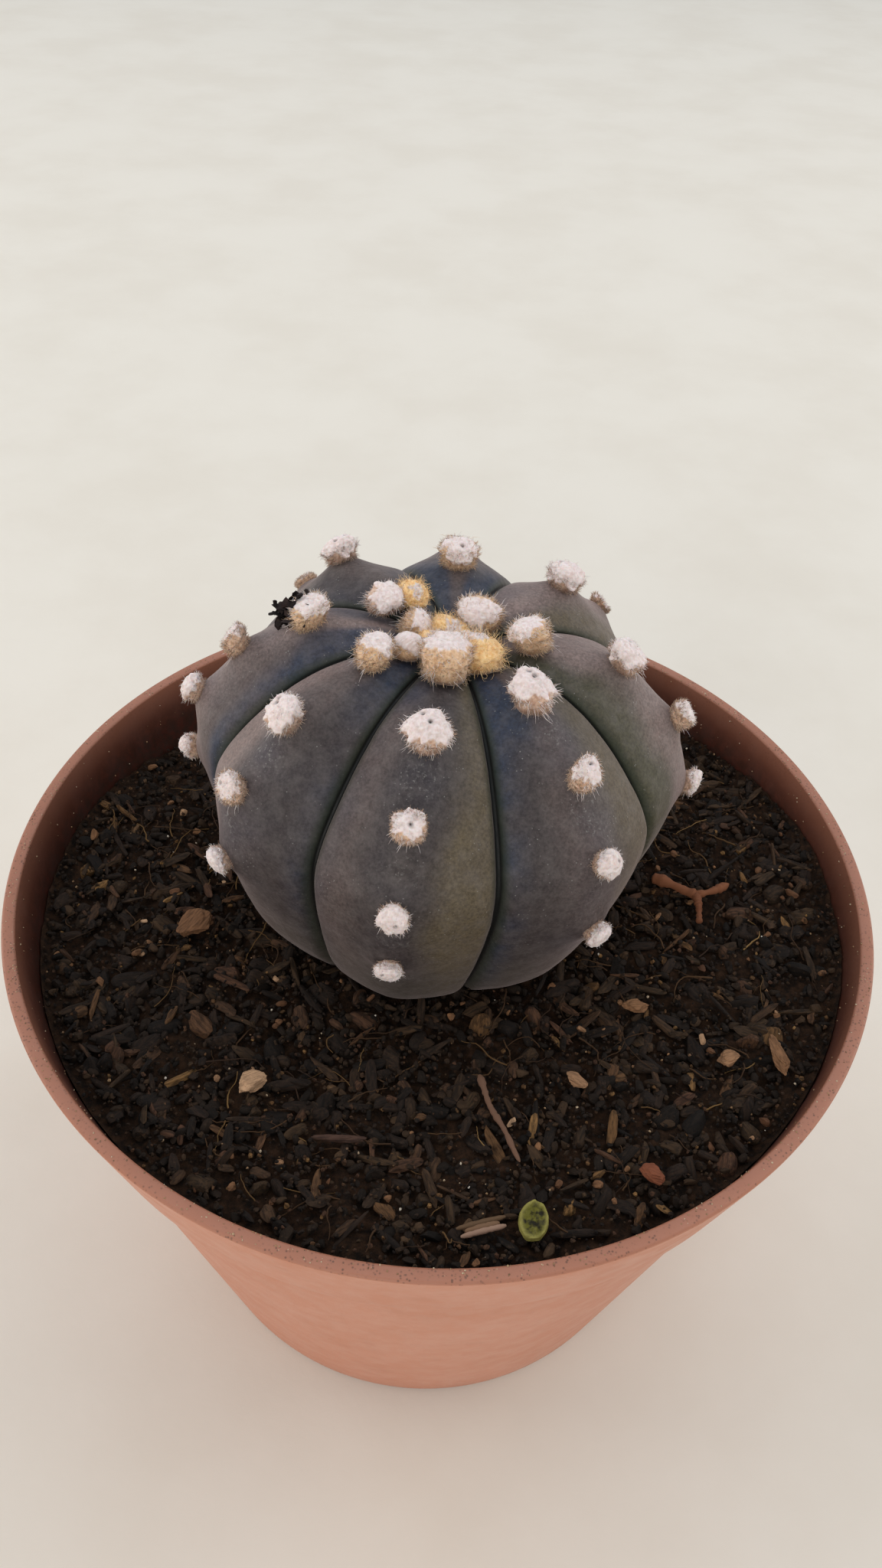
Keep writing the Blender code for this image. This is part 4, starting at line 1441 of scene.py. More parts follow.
@dataclass
class WoolTuft:
    """A pad of wool on an areole, with its foot where the frame has it."""

    node: str
    seat: Array
    normal: Array
    down: Array
    radius: float
    height: float
    look: WoolLook
    seed: int
    pits: int = 0
    upturn: float = 0.28

    def build(self) -> None:
        """Builds the lumpy pad and its hairs, and settles it in the node's place."""
        chance = np.random.default_rng(self.seed)
        recipe = RECIPES[self.look]
        axes = np.stack([self.down, np.cross(self.normal, self.down), self.normal])
        draft = MeshDraft()
        shape, faces = ball(5)
        body, cap, pit, fall = self.pad(shape, recipe, chance)
        shade = eased(fall, 0.58, 0.85) * (1 - cap)
        draft.add(self.seat + body @ axes, faces, cap=cap, gold=recipe.gold, shade=shade, pit=pit)
        for sort in self.hair_sorts(shape, fall, recipe):
            if sort.count and sort.starts.any():
                self.add_hairs(draft, axes, shape, body, sort, recipe.gold, chance)
        finish = "golden_wool" if recipe.gold > 0.9 else "wool"
        settle(draft.make("areole_" + self.node, finish_of(finish), 180), finish, self.node)

    def pad(
        self, shape: Array, recipe: WoolRecipe, chance: np.random.Generator
    ) -> tuple[Array, Array, Array, Array]:
        """The pad in its own frame.

        Args:
            shape: Points of a ball of radius 1.
            recipe: How this kind of wool is made.
            chance: The source of chance.

        Returns:
            Places with the way down the rib, across it and outward as axes; cap values and the painted
            shade in the pits; and how far down the pad's side each point is, from 0 on top to 1 under
            it.
        """
        fall = np.arccos(np.clip(shape[:, 2], -1, 1)) / math.pi
        around = unit(shape[:, :2] + 1e-9)
        ring = np.concatenate([around, np.zeros((len(around), 1))], axis=-1)
        torn = rough_noise(ring, 0.42, self.seed + 9, 3)
        edge = recipe.cap_edge + recipe.ragged * torn - 0.12 * shape[:, 0]
        cap = 1 - eased(fall, edge - 0.02, edge + 0.02)
        out = np.interp(fall, PAD_PROFILE[:, 0], PAD_PROFILE[:, 1])
        high = np.interp(fall, PAD_PROFILE[:, 0], PAD_PROFILE[:, 2])
        brim = np.exp(-(((fall - edge + 0.04) / 0.09) ** 2))
        out = out * (1 + recipe.flare * brim * (0.45 + torn))
        lobes = rough_noise(ring + [0, 0, 3.0], 0.9, self.seed + 15, 2)
        out = out * (1 + 0.10 * lobes) * self.radius * 0.97
        tilt = chance.normal(0, 0.10, 2)
        high = high * (1 + shape[:, :2] @ tilt) * self.height * 1.12
        body = np.stack([around[:, 0] * out - self.upturn * high, around[:, 1] * out, high], axis=-1)
        lumps = rough_noise(body, 0.95 * MM, self.seed, 3)
        creases = 1 - 2.2 * np.abs(rough_noise(body, 0.62 * MM, self.seed + 3, 3))
        grow = recipe.crumple * self.radius * (0.55 * lumps + 0.42 * creases)
        if self.look is WoolLook.SHELL:
            grow = grow * 0.4 + 0.05 * MM * np.sin(shape[:, 1] * 34 + lumps)
        body = body + shape * (grow * eased(fall, 1.0, 0.8))[:, None]
        # Dents in the pad, each with painted dark shade in it.
        pit = np.zeros(len(shape))
        for _ in range(self.pits):
            centre = unit(np.array([chance.uniform(-0.5, 0.4), chance.uniform(-0.7, 0.7), 0.9]))
            near = np.exp(-((np.linalg.norm(shape - centre, axis=1) / 0.12) ** 2))
            body -= shape * (near * self.radius * 0.30)[:, None]
            pit = np.maximum(pit, near)
        return body, cap, pit, fall

    def hair_sorts(self, shape: Array, fall: Array, recipe: WoolRecipe) -> tuple[HairSort, ...]:
        """The cap's fringe, bristles on the flank, matted hairs, hanging hairs and curls.

        Args:
            shape: Points of a ball of radius 1.
            fall: How far down the pad's side each is.
            recipe: How this kind of wool is made.

        Returns:
            The sorts of hair, in the order they are drawn.
        """
        edge = recipe.cap_edge
        rim = (fall > edge - 0.10) & (fall < edge + 0.04)
        flank = (fall > edge - 0.04) & (fall < 0.88)
        low_side = (shape[:, 0] > 0.5) & (fall > 0.5) & (fall < 0.8)
        return (
            HairSort(recipe.fringe, rim, 0.34, 0.036, 0.16, droop=0.5, sag=0.25, cap=1.0, shade=0.1),
            HairSort(recipe.bristles, flank, 0.26, 0.026, 0.12, droop=0.15, sag=-0.5, shade=1.0),
            HairSort(recipe.felt, fall < edge, 0.36, 0.024, 0.50, cap=1.0, shade=0.15, matted=True),
            HairSort(recipe.hanging, low_side, 0.75, 0.030, 0.16, droop=1.2, sag=0.1, cap=1.0),
            HairSort(recipe.curls, fall < 0.8, 0.60, 0.026, 0.50, droop=0.1),
        )

    def add_hairs(
        self,
        draft: MeshDraft,
        axes: Array,
        shape: Array,
        body: Array,
        sort: HairSort,
        gold: float,
        chance: np.random.Generator,
    ) -> None:
        """Adds the hairs of one sort.

        Args:
            draft: The tuft's mesh.
            axes: The way down the rib, the way across it and outward, as rows.
            shape: Points of a ball of radius 1.
            body: The same points on the pad.
            sort: The sort of hair.
            gold: How golden this wool is.
            chance: The source of chance.
        """
        count = sort.count
        chosen = chance.choice(np.flatnonzero(sort.starts), count)
        out = unit(shape[chosen] + chance.normal(0, 0.3, (count, 3)))
        if sort.matted:
            out = unit(chance.normal(0, 1, (count, 3)) + shape[chosen] * 0.45)
        out = unit(out + DOWN_RIB * sort.droop + INWARD * sort.sag)
        spans = sort.length * self.radius * chance.uniform(0.5, 1.25, count)
        roots = body[chosen] - out * (0.12 * spans)[:, None]
        paths = wandering(roots, out, spans, sort.curl, len(HAIR_TAPER), chance)
        radii = sort.thickness * MM * chance.uniform(0.7, 1.4, (count, 1)) * HAIR_TAPER
        points, faces = rod_mesh(paths, radii, HAIR_SIDES)
        shade = np.repeat(sort.shade * chance.beta(0.5, 1.0, count), len(points) // count)
        draft.add(self.seat + points @ axes, faces, cap=sort.cap, gold=gold, shade=shade, pit=0.0)


@dataclass(frozen=True)
class CrownTuft:
    """A tuft near the crown: its azimuth, its distance from the middle, its radius and its look."""

    name: str
    azimuth: float
    distance: float
    radius: float
    look: WoolLook


CROWN_TUFTS = (
    CrownTuft("front", -8.0, 8.1, 2.7, WoolLook.CROWN),
    CrownTuft("golden_right", 35.0, 6.2, 2.1, WoolLook.GOLDEN),
    CrownTuft("white_tip", 25.0, 2.7, 1.1, WoolLook.SMOOTH),
    CrownTuft("right", 84.0, 9.7, 2.2, WoolLook.CROWN),
    CrownTuft("back_right", 139.0, 5.6, 2.3, WoolLook.CROWN),
    CrownTuft("golden_centre", 221.0, 1.9, 1.8, WoolLook.GOLDEN),
    CrownTuft("golden_back", 225.0, 8.6, 1.5, WoolLook.GOLDEN),
    CrownTuft("back_left", 248.0, 10.1, 1.9, WoolLook.RAGGED),
    CrownTuft("left", 264.0, 5.5, 1.8, WoolLook.CROWN),
    CrownTuft("shell", 308.0, 7.7, 1.7, WoolLook.SHELL),
    CrownTuft("front_left", 308.0, 11.9, 2.0, WoolLook.CROWN),
    CrownTuft("golden_left", 315.0, 4.4, 1.2, WoolLook.GOLDEN),
)


@dataclass
class Stem:
    """The cactus: its ribbed skin and root, its wool and its one dried flower."""

    shape: StemShape
    per_rib: int = 52
    shown_rows: int = 205
    root_rows: int = 12
    wool_top: float = 2.5 * MM
    wool_low: float = 1.5 * MM
    wool_height: float = 1.2
    crown_spread: tuple[tuple[float, float], ...] = ((1.08, 1.4), (1.3, 1.5))
    small_tuft: float = 1.3
    small_growth: float = 1.35
    first_growth: float = 1.1
    lower_width: float = 0.88
    upturn: float = 0.28
    back_upturn: float = 0.08
    back_height: float = 0.6
    back_width: float = 0.85
    golden_ribs: tuple[str, ...] = ("e", "g")
    back_ribs: tuple[str, ...] = ("d", "e", "f")
    gap: float = 0.3 * MM
    seat_reach: float = 1.15
    foot_steps: int = 30
    skin_wave: float = 0.10 * MM
    mound_height: float = 0.95 * MM
    mound_width: float = 2.7 * MM
    crease_line: float = 0.30 * MM
    dust_drop: float = 4.2 * MM
    dust_width: float = 2.2 * MM
    cloud_columns: int = 180
    cloud_rows: int = 90
    flower_strips: int = 44
    flower_steps: int = 10
    strip_root: float = 1.1 * MM
    strip_thickness: float = 0.04 * MM
    flower_radius: float = 1.3 * MM
    flower_height: float = 4.2 * MM
    flower_turn: float = 42.0
    flower_shift: float = 2.7 * MM
    flower_rise: float = 2.4 * MM

    @functools.cached_property
    def contacts(self) -> tuple[Array, Array]:
        """How far along the skin it meets the mix, at each whole degree."""
        azimuths = np.arange(360.0)
        low = np.full(360, self.shape.waist_arc)
        high = np.full(360, self.shape.root_end)
        for _ in range(self.foot_steps):
            middle = (low + high) / 2
            places = self.shape.point(azimuths, middle)
            above = places[:, 2] > self.shape.mix.level(places[:, 0], places[:, 1])
            low, high = np.where(above, middle, low), np.where(above, high, middle)
        return azimuths, low

    def contact(self, azimuth: Array) -> Array:
        """How far along the skin it meets the mix at these azimuths."""
        return np.interp(azimuth, *self.contacts, period=360)

    @functools.cached_property
    def footprint(self) -> tuple[Array, Array]:
        """Azimuth about the stem's foot, and radius, of the line where it meets the mix."""
        azimuths, arcs = self.contacts
        line = self.shape.point(azimuths, arcs)[:, :2] - np.array(self.shape.offset)
        turns = np.degrees(np.arctan2(line[:, 0], -line[:, 1])) % 360
        order = np.argsort(turns)
        return turns[order], np.hypot(*line.T)[order]

    def clearance(self, spots: Array) -> Array:
        """How far places on the mix are outside the stem's foot."""
        offset = np.asarray(spots, float) - np.array(self.shape.offset)
        turns = np.degrees(np.arctan2(offset[:, 0], -offset[:, 1])) % 360
        return np.hypot(*offset.T) - np.interp(turns, *self.footprint, period=360)

    def columns(self) -> Array:
        """Azimuths of the mesh's columns, closer together beside each groove."""
        crests = [rib.azimuth for rib in RIBS]
        steps = np.arange(self.per_rib // 2) / (self.per_rib // 2)
        shares = 1 - (1 - steps) ** 1.7
        found = []
        for low, high in zip(crests, crests[1:] + [crests[0] + 360]):
            half = (high - low) / 2
            found += [low + half * shares, [low + half], (high - half * shares[:0:-1])]
        return np.concatenate(found)

    def build(self) -> None:
        """Builds the skin, then everything that grows on it."""
        self.build_skin()
        cloud = self.skin_cloud()
        self.build_wool(cloud)
        self.build_flower(cloud)

    def build_skin(self) -> None:
        """The ribbed skin with its relief, and the values that its finish reads."""
        azimuths = self.columns()
        shown = self.shape.mix_arc * (np.arange(self.shown_rows) + 1) / self.shown_rows
        root = np.linspace(self.shape.mix_arc, self.shape.root_end, self.root_rows + 2)[1:-1]
        turn, arc = np.meshgrid(azimuths, np.concatenate([shown, root]))
        skin = self.shape.point(turn, arc)
        along = np.gradient(skin, axis=0)
        across = np.roll(skin, -1, axis=1) - np.roll(skin, 1, axis=1)
        normal = unit(np.cross(along, across))
        outward = skin - self.shape.leant(np.zeros((1, 3)))[0]
        normal *= np.sign((normal * outward).sum(axis=-1, keepdims=True))
        values = self.tones(turn, arc, skin)
        relief = self.skin_wave * rough_noise(skin, 7 * MM, 3, 3)
        relief += self.mound_height * values.pop("mound")
        line = np.exp(-((values.pop("to_groove") / self.crease_line) ** 2))
        relief -= self.crease_line * line * (arc < self.shape.mix_arc)
        relief *= eased(arc, 0.5 * MM, 3 * MM)
        skin = skin + normal * relief[..., None]
        top = self.shape.point(np.zeros(1), np.zeros(1))
        tip = self.shape.point(np.zeros(1), np.full(1, self.shape.root_end))
        count = len(azimuths)
        body = skin.reshape(-1, 3)
        points = np.concatenate([body, top, tip])
        ring = np.arange(count)
        after = (ring + 1) % count
        last = len(body) - count
        upper = np.stack([after, ring, np.full(count, len(body))], axis=-1)
        lower = np.stack([ring + last, after + last, np.full(count, len(body) + 1)], axis=-1)
        draft = MeshDraft()
        flat = {name: np.append(value.ravel(), [0.0, 0.0]) for name, value in values.items()}
        faces = [part[:, ::-1] for part in (grid_faces(len(skin), count), upper, lower)]
        draft.add(points, faces, **flat)
        piece = draft.make("cactus_stem", finish_of("cactus_skin"), 180)
        shell = bmesh.new()
        shell.from_mesh(piece.data)
        bmesh.ops.recalc_face_normals(shell, faces=shell.faces)
        shell.to_mesh(piece.data)
        shell.free()
        settle(piece, "cactus_skin", "cactus")

    def tones(self, turn: Array, arc: Array, skin: Array) -> dict[str, Array]:
        """Values over the skin: one for each tone, and its mounds, dust, lips and grooves.

        Args:
            turn: Azimuths of the skin's points.
            arc: Their distances from the crown.
            skin: Their places.

        Returns:
            Arrays by name, of the points' shape.
        """
        rib, across, share, to_groove = self.shape.flank(turn)
        radius = np.interp(arc, *self.shape.crest[:2])
        groove_gap = to_groove * radius
        wander = 0.22 * rough_noise(skin, 9 * MM, 21, 3)
        side = across + wander
        weights = {
            "before": eased(-side, 0.10, 0.62),
            "after": eased(side, 0.10, 0.62),
        }
        weights["crest"] = 1 - np.maximum(weights["before"], weights["after"])
        found = {tone: np.zeros_like(arc) for tone in Tone}
        for i, each in enumerate(RIBS):
            for place in ("before", "crest", "after"):
                found[getattr(each, place)] += weights[place] * (rib == i)
        crown = eased(arc, 24 * MM, 11 * MM)
        beside = eased(groove_gap, 4.5 * MM, 1.0 * MM) * 0.8
        ragged = np.clip(0.85 + 0.9 * rough_noise(skin, 6 * MM, 44, 3), 0, 1.4)
        for i, each in enumerate(RIBS):
            for strength, where in zip(each.slate, (across < 0, across >= 0)):
                inside = eased(np.abs(across), 0.08, 0.4)
                share = strength * ragged * (crown * inside + beside)
                found[Tone.SLATE] += share * where * (rib == i)
        mound, dust = np.zeros_like(arc), np.zeros_like(arc)
        chance = np.random.default_rng(77)
        for each in RIBS:
            for distance in each.arcs():
                here, _, down = self.shape.crest_frame(each.azimuth, distance)
                away = skin - here
                mound += np.exp(-((np.linalg.norm(away, axis=-1) / self.mound_width) ** 2))
                below = np.linalg.norm(away - down * self.dust_drop, axis=-1)
                dust += np.exp(-((below / self.dust_width) ** 2)) * chance.uniform(0.25, 0.9)
                # A slate patch below each tuft: partly the skin's slate tint, partly painted shade
                # under the tuft.
                slate_and_shade_patch = np.exp(-((below / self.dust_drop) ** 2)) * chance.uniform(0.0, 0.5)
                found[Tone.SLATE] += slate_and_shade_patch * ragged
        values = {
            "tone_" + tone.name.lower(): np.clip(value, 0, 1) * 0.85 for tone, value in found.items()
        }
        values["foot"] = eased(arc / self.shape.mix_arc + 0.08 * wander, 0.66, 1.0) * 0.8
        values["dust"] = np.clip(dust, 0, 1) * 0.8
        values["mound"] = mound
        # Where the grooves' lips get their dark green, partly painted shade.
        values["lip"] = eased(groove_gap, 1.5 * MM, 0.3 * MM) * 0.7
        # Where the grooves get their near-black painted shade.
        values["groove"] = eased(groove_gap, 0.42 * MM, 0.12 * MM)
        values["to_groove"] = groove_gap
        return values

    def skin_cloud(self) -> Array:
        """Points all over the skin above the mix, as rows."""
        arcs = self.shape.mix_arc * np.arange(self.cloud_rows + 1) / self.cloud_rows
        turns = 360 / self.cloud_columns * np.arange(self.cloud_columns)
        turn, arc = np.meshgrid(turns, arcs)
        return self.shape.point(turn, arc).reshape(-1, 3)

    def seat(
        self, azimuth: float, arc: float, radius: float, cloud: Array
    ) -> tuple[Array, Array, Array]:
        """Where a tuft sits, just clear of the highest skin under it.

        Args:
            azimuth: Degrees from the front.
            arc: How far down the skin from the crown.
            radius: The tuft's radius.
            cloud: Points all over the skin.

        Returns:
            Its foot's middle, the way outward and the way down the rib.
        """
        here, normal, down = self.shape.crest_frame(azimuth, arc)
        offsets = cloud - here
        out = offsets @ normal
        aside = np.sqrt(np.maximum((offsets**2).sum(axis=1) - out**2, 0.0))
        lift = float(out[aside < radius * self.seat_reach].max())
        return here + normal * (lift + self.gap), normal, down

    def wool_radius(self, arc: float) -> float:
        """Tufts get smaller down the rib."""
        return self.wool_top + (self.wool_low - self.wool_top) * min(arc / self.shape.mix_arc, 1.0)

    def build_wool(self, cloud: Array) -> None:
        """A tuft for each areole, and those round the crown."""
        for seed, tuft in enumerate(CROWN_TUFTS, start=100):
            radius = tuft.radius * MM
            seat = self.seat(tuft.azimuth, tuft.distance * MM, radius, cloud)
            spread, rise = self.crown_spread[tuft.look is WoolLook.GOLDEN]
            growth = self.small_growth if tuft.radius < self.small_tuft else 1.0
            size = (radius * spread * growth, radius * rise * growth)
            WoolTuft("crown_wool_" + tuft.name, *seat, *size, tuft.look, seed).build()
        for k, rib in enumerate(RIBS):
            for i, arc in enumerate(rib.arcs()):
                self.build_rib_tuft(rib, i, arc, 200 + 10 * k + i, cloud)

    def build_rib_tuft(self, rib: Rib, i: int, arc: float, seed: int, cloud: Array) -> None:
        """One tuft on a rib's crest.

        Args:
            rib: The rib.
            i: The tuft's number from the crown, from 0.
            arc: How far down the skin it is.
            seed: The seed of its chance.
            cloud: Points all over the skin.
        """
        looks = (WoolLook.RAGGED, WoolLook.BRISTLY, WoolLook.SMOOTH, WoolLook.SMOOTH)
        look = WoolLook.SMOOTH if i == rib.areoles - 1 else looks[i]
        if i == 0 and rib.name in self.golden_ribs:
            look = WoolLook.CROWN
        radius = self.wool_radius(arc)
        seat = self.seat(rib.azimuth, arc, radius, cloud)
        height = radius * self.wool_height * (self.first_growth if i == 0 else 1.0)
        radius *= 1.0 if i == 0 else self.lower_width
        upturn = self.upturn
        if rib.name in self.back_ribs:
            upturn = self.back_upturn
            if i > 0:
                height *= self.back_height
                radius *= self.back_width
        pits = 2 if look is WoolLook.RAGGED else 1
        WoolTuft(f"wool_{rib.name}{i + 1}", *seat, radius, height, look, seed, pits, upturn).build()

    def build_flower(self, cloud: Array) -> None:
        """The shrivelled flower beside the left rib's first tuft: curled, crumpled dark strips."""
        rib = next(rib for rib in RIBS if rib.name == "g")
        first = rib.arcs()[0]
        apart = self.wool_radius(first) + self.flower_radius + self.gap
        arc = first + apart * math.cos(math.radians(self.flower_turn))
        azimuth = rib.azimuth - math.degrees(apart * math.sin(math.radians(self.flower_turn)) / arc)
        seat, normal, down = self.seat(azimuth, arc, self.flower_radius, cloud)
        beside, _, _ = self.shape.crest_frame(rib.azimuth, first)
        seat = seat + unit(beside - seat) * self.flower_shift + normal * self.flower_rise
        chance = np.random.default_rng(55)
        draft = MeshDraft()
        for _ in range(self.flower_strips):
            self.add_strip(draft, seat, normal, down, chance)
        flower = draft.make("dried_flower_remnant", finish_of("dried_flower"), 50)
        settle(flower, "dried_flower", "dried_flower")

    def add_strip(
        self, draft: MeshDraft, seat: Array, normal: Array, down: Array, chance: np.random.Generator
    ) -> None:
        """Adds one thin, twisted strip of the dried flower.

        Args:
            draft: The flower's mesh.
            seat: The middle of its foot.
            normal: The way outward.
            down: The way down the rib.
            chance: The source of chance.
        """
        steps = self.flower_steps
        across = np.cross(normal, down)
        turn = chance.uniform(0, 2 * math.pi)
        lean = chance.uniform(0.1, 1.1)
        aside = down * math.cos(turn) + across * math.sin(turn)
        heading = unit(normal + aside * lean)
        length = self.flower_height * chance.uniform(0.5, 1.0)
        start = seat + aside * self.flower_radius * chance.uniform(0, 0.7) - normal * self.strip_root
        path = wandering(start[None], heading[None], np.array([length]), 0.48, steps, chance)[0]
        width = chance.uniform(0.25, 0.6) * MM * np.sin(np.linspace(0.5, 2.5, steps))
        twist = np.linspace(0, chance.uniform(-3, 3), steps)[:, None]
        ahead = unit(np.gradient(path, axis=0))
        side = unit(np.cross(ahead, normal + 0.01))
        flat = side * np.cos(twist) + np.cross(side, ahead) * np.sin(twist)
        wide = flat * width[:, None]
        thick = np.cross(flat, ahead) * self.strip_thickness
        ripple = thick * chance.normal(0, 2.0, (steps, 1))
        sides = (path + wide, path + ripple + thick, path - wide, path + ripple - thick)
        ring = np.stack(sides, axis=1).reshape(-1, 3)
        first, last = np.array([[3, 2, 1, 0]]), np.arange(4)[None] + 4 * (steps - 1)
        draft.add(ring, [grid_faces(steps, 4), first, last], tone=chance.beta(2, 3), grain=0.0)


# Loose pieces


@dataclass(frozen=True)
class LooseChip:
    """A chip lying on the mix in its node's place: length, width and thickness in millimetres."""

    node: str
    size: tuple[float, float, float]
    heading: float
    finish: str
    tone: float
    seed: int
    slot: str = "pale_chip"
    flats: int = 9
    cuts: int = 5

    def build(self) -> None:
        """An angular, layered chip with fibres along its length."""
        chance = np.random.default_rng(self.seed)
        points, faces = ball(self.cuts)
        points = points.copy()
        for normal in unit(chance.normal(size=(self.flats, 3)) * [1.0, 1.0, 0.5]):
            over = np.maximum(points @ normal - chance.uniform(0.5, 0.85), 0.0)
            points -= over[:, None] * normal
        layers = np.sign(points[:, 2]) * np.round(np.abs(points[:, 2]) * 4) / 4
        points[:, 2] = 0.6 * points[:, 2] + 0.4 * layers
        streaks = rough_noise(points * [0.25, 1.0, 1.0], 0.22, self.seed, 3)
        rough = 0.07 * streaks + 0.05 * rough_noise(points, 0.5, self.seed + 1, 3)
        points += unit(points) * rough[:, None]
        points = points / np.abs(points).max(axis=0) * (np.array(self.size) * MM / 2)
        turn = np.array(Matrix.Rotation(math.radians(self.heading), 3, "Z"))
        draft = MeshDraft()
        draft.add(points @ turn.T + middle_of(self.node), faces, tone=self.tone, grain=points)
        settle(draft.make(self.node + "_piece", finish_of(self.finish), 40), self.slot, self.node)


def middle_of(node: str) -> Array:
    """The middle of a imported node's box."""
    low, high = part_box(node)
    return np.array((low + high) / 2)


@dataclass
class LoosePieces:
    """Everything that lies loose on the mix: chips, straw, a seed leaf, a twig and a rootlet."""

    mix: PottingMix
    chips: tuple[LooseChip, ...] = (
        LooseChip("brown_bark_chip", (5.2, 4.6, 2.2), 60, "pale_chip", 0.28, 3, "bark"),
        LooseChip("pale_bark_chip", (3.9, 3.1, 2.2), 30, "pale_chip", 0.82, 4),
        LooseChip("brown_splinter", (7.2, 1.0, 0.9), 3, "twig", 0.25, 5, "bark", flats=14),
        LooseChip("terracotta_chip", (3.3, 2.6, 1.5), 160, "clay_chip", 0.7, 6, "clay_chip"),
        LooseChip("tan_stone", (3.1, 2.2, 1.6), 25, "pale_chip", 0.55, 7),
        LooseChip("long_tan_chip", (5.8, 2.1, 1.2), 105, "pale_chip", 0.45, 8),
        LooseChip("tan_chip_front", (3.0, 2.1, 1.3), 150, "pale_chip", 0.6, 9),
        LooseChip("tan_chip_near_stem", (3.6, 2.4, 1.4), 10, "pale_chip", 0.5, 10),
    )
    piece_room: float = 0.6 * MM
    leaf_size: tuple[float, float] = (4.5 * MM, 3.2 * MM)
    leaf_heading: float = 80.0
    leaf_relief: float = 2.4 * MM
    leaf_sink: float = 0.1 * MM
    straw_size: tuple[float, float] = (5.4 * MM, 1.7 * MM)
    straw_heading: float = 18.0
    straw_strands: tuple[tuple[float, float, float], ...] = (
        (0.30, 0.25, 1.0), (-0.26, 0.85, 0.92), (0.02, 0.5, 0.7)
    )
    twig_radius: float = 0.40 * MM
    twig_route: tuple[Range, ...] = ((5.9, -27.3), (7.0, -31.1), (8.9, -34.8), (10.5, -38.6))
    root_radius: float = 0.715 * MM
    root_route: tuple[Range, ...] = (
        (28.8, 4.6), (31.8, 3.1), (34.5, 1.4), (36.6, 2.0), (38.9, 3.4)
    )
    fork_radius: float = 0.585 * MM
    fork_route: tuple[Range, ...] = ((34.4, 1.9), (34.5, -0.8), (34.3, -3.1))
    rod_steps: int = 40
    rod_sides: int = 14
    rod_lift: float = 0.3 * MM

    def clear_spots(self) -> list[tuple[float, float, float]]:
        """Circles on the mix that these pieces cover."""
        spots = []
        for node in [chip.node for chip in self.chips] + ["green_seed_leaf", "straw_sliver"]:
            low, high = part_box(node)
            room = min(high.x - low.x, high.y - low.y) / 2
            spots.append(((low.x + high.x) / 2, (low.y + high.y) / 2, room))
        for route in (self.twig_route, self.root_route, self.fork_route):
            for start, end in itertools.pairwise(route):
                for share in (0.0, 0.5, 1.0):
                    x, y = (a + (b - a) * share for a, b in zip(start, end))
                    spots.append((x * MM, y * MM, self.piece_room))
        return spots

    def build(self) -> None:
        """Builds every loose piece."""
        for chip in self.chips:
            chip.build()
        self.build_leaf()
        self.build_straw()
        self.build_twigs()

    def build_leaf(self) -> None:
        """The wrinkled seed leaf, a thin cupped disc with a rolled rim."""
        points, faces = ball(6)
        out = np.hypot(points[:, 0], points[:, 1])
        places = np.stack([points[:, 0], points[:, 1], 0 * out], axis=-1)
        dimples = rough_noise(places, 0.38, 8, 3)
        edge = 1 + 0.05 * rough_noise(places, 0.5, 18, 2)
        size = np.array(self.leaf_size) / 2
        top = 0.10 + 0.16 * eased(out, 0.55, 0.92) * eased(out, 1.0, 0.93) + 0.10 * dimples
        z = points[:, 2] * 0.16 + top * (1 - 0.3 * out)
        flat = points[:, :2] * size * edge[:, None]
        shape = np.concatenate([flat, z[:, None] * self.leaf_relief], axis=-1)
        turn = np.array(Matrix.Rotation(math.radians(self.leaf_heading), 3, "Z"))
        centre = middle_of("green_seed_leaf") - [0, 0, self.leaf_sink]
        rim = np.clip(eased(out, 0.6, 0.95) + 0.25 * dimples, 0, 1)
        draft = MeshDraft()
        draft.add(shape @ turn.T + centre, faces, rim=rim)
        leaf = draft.make("green_seed_leaf_piece", finish_of("seed_leaf"))
        settle(leaf, "seed_leaf", "green_seed_leaf")

    def build_straw(self) -> None:
        """Split strands of straw, side by side."""
        length, width = self.straw_size
        centre = middle_of("straw_sliver")
        turn = math.radians(self.straw_heading)
        along = np.array([math.cos(turn), math.sin(turn), 0.0])
        aside = np.array([-along[1], along[0], 0.0])
        draft = MeshDraft()
        chance = np.random.default_rng(23)
        steps = 16
        t = np.linspace(-0.5, 0.5, steps)
        for offset, tone, share in self.straw_strands:
            bow = offset * width + 0.25 * MM * t**2
            path = centre + along * (length * share) * t[:, None] + aside * bow[:, None]
            path[:, 2] += 0.12 * MM * np.cos(5 * t) + 0.1 * MM * abs(offset)
            radii = (0.34 - 0.1 * abs(offset)) * MM * (1 - (2 * np.abs(t)) ** 6 * 0.6)
            radii = radii * chance.uniform(0.85, 1.1, steps)
            add_rods(draft, path[None], radii[None], 10, tone=np.array([tone]), grain=0.0)
        settle(draft.make("straw_sliver_piece", finish_of("straw")), "straw", "straw_sliver")

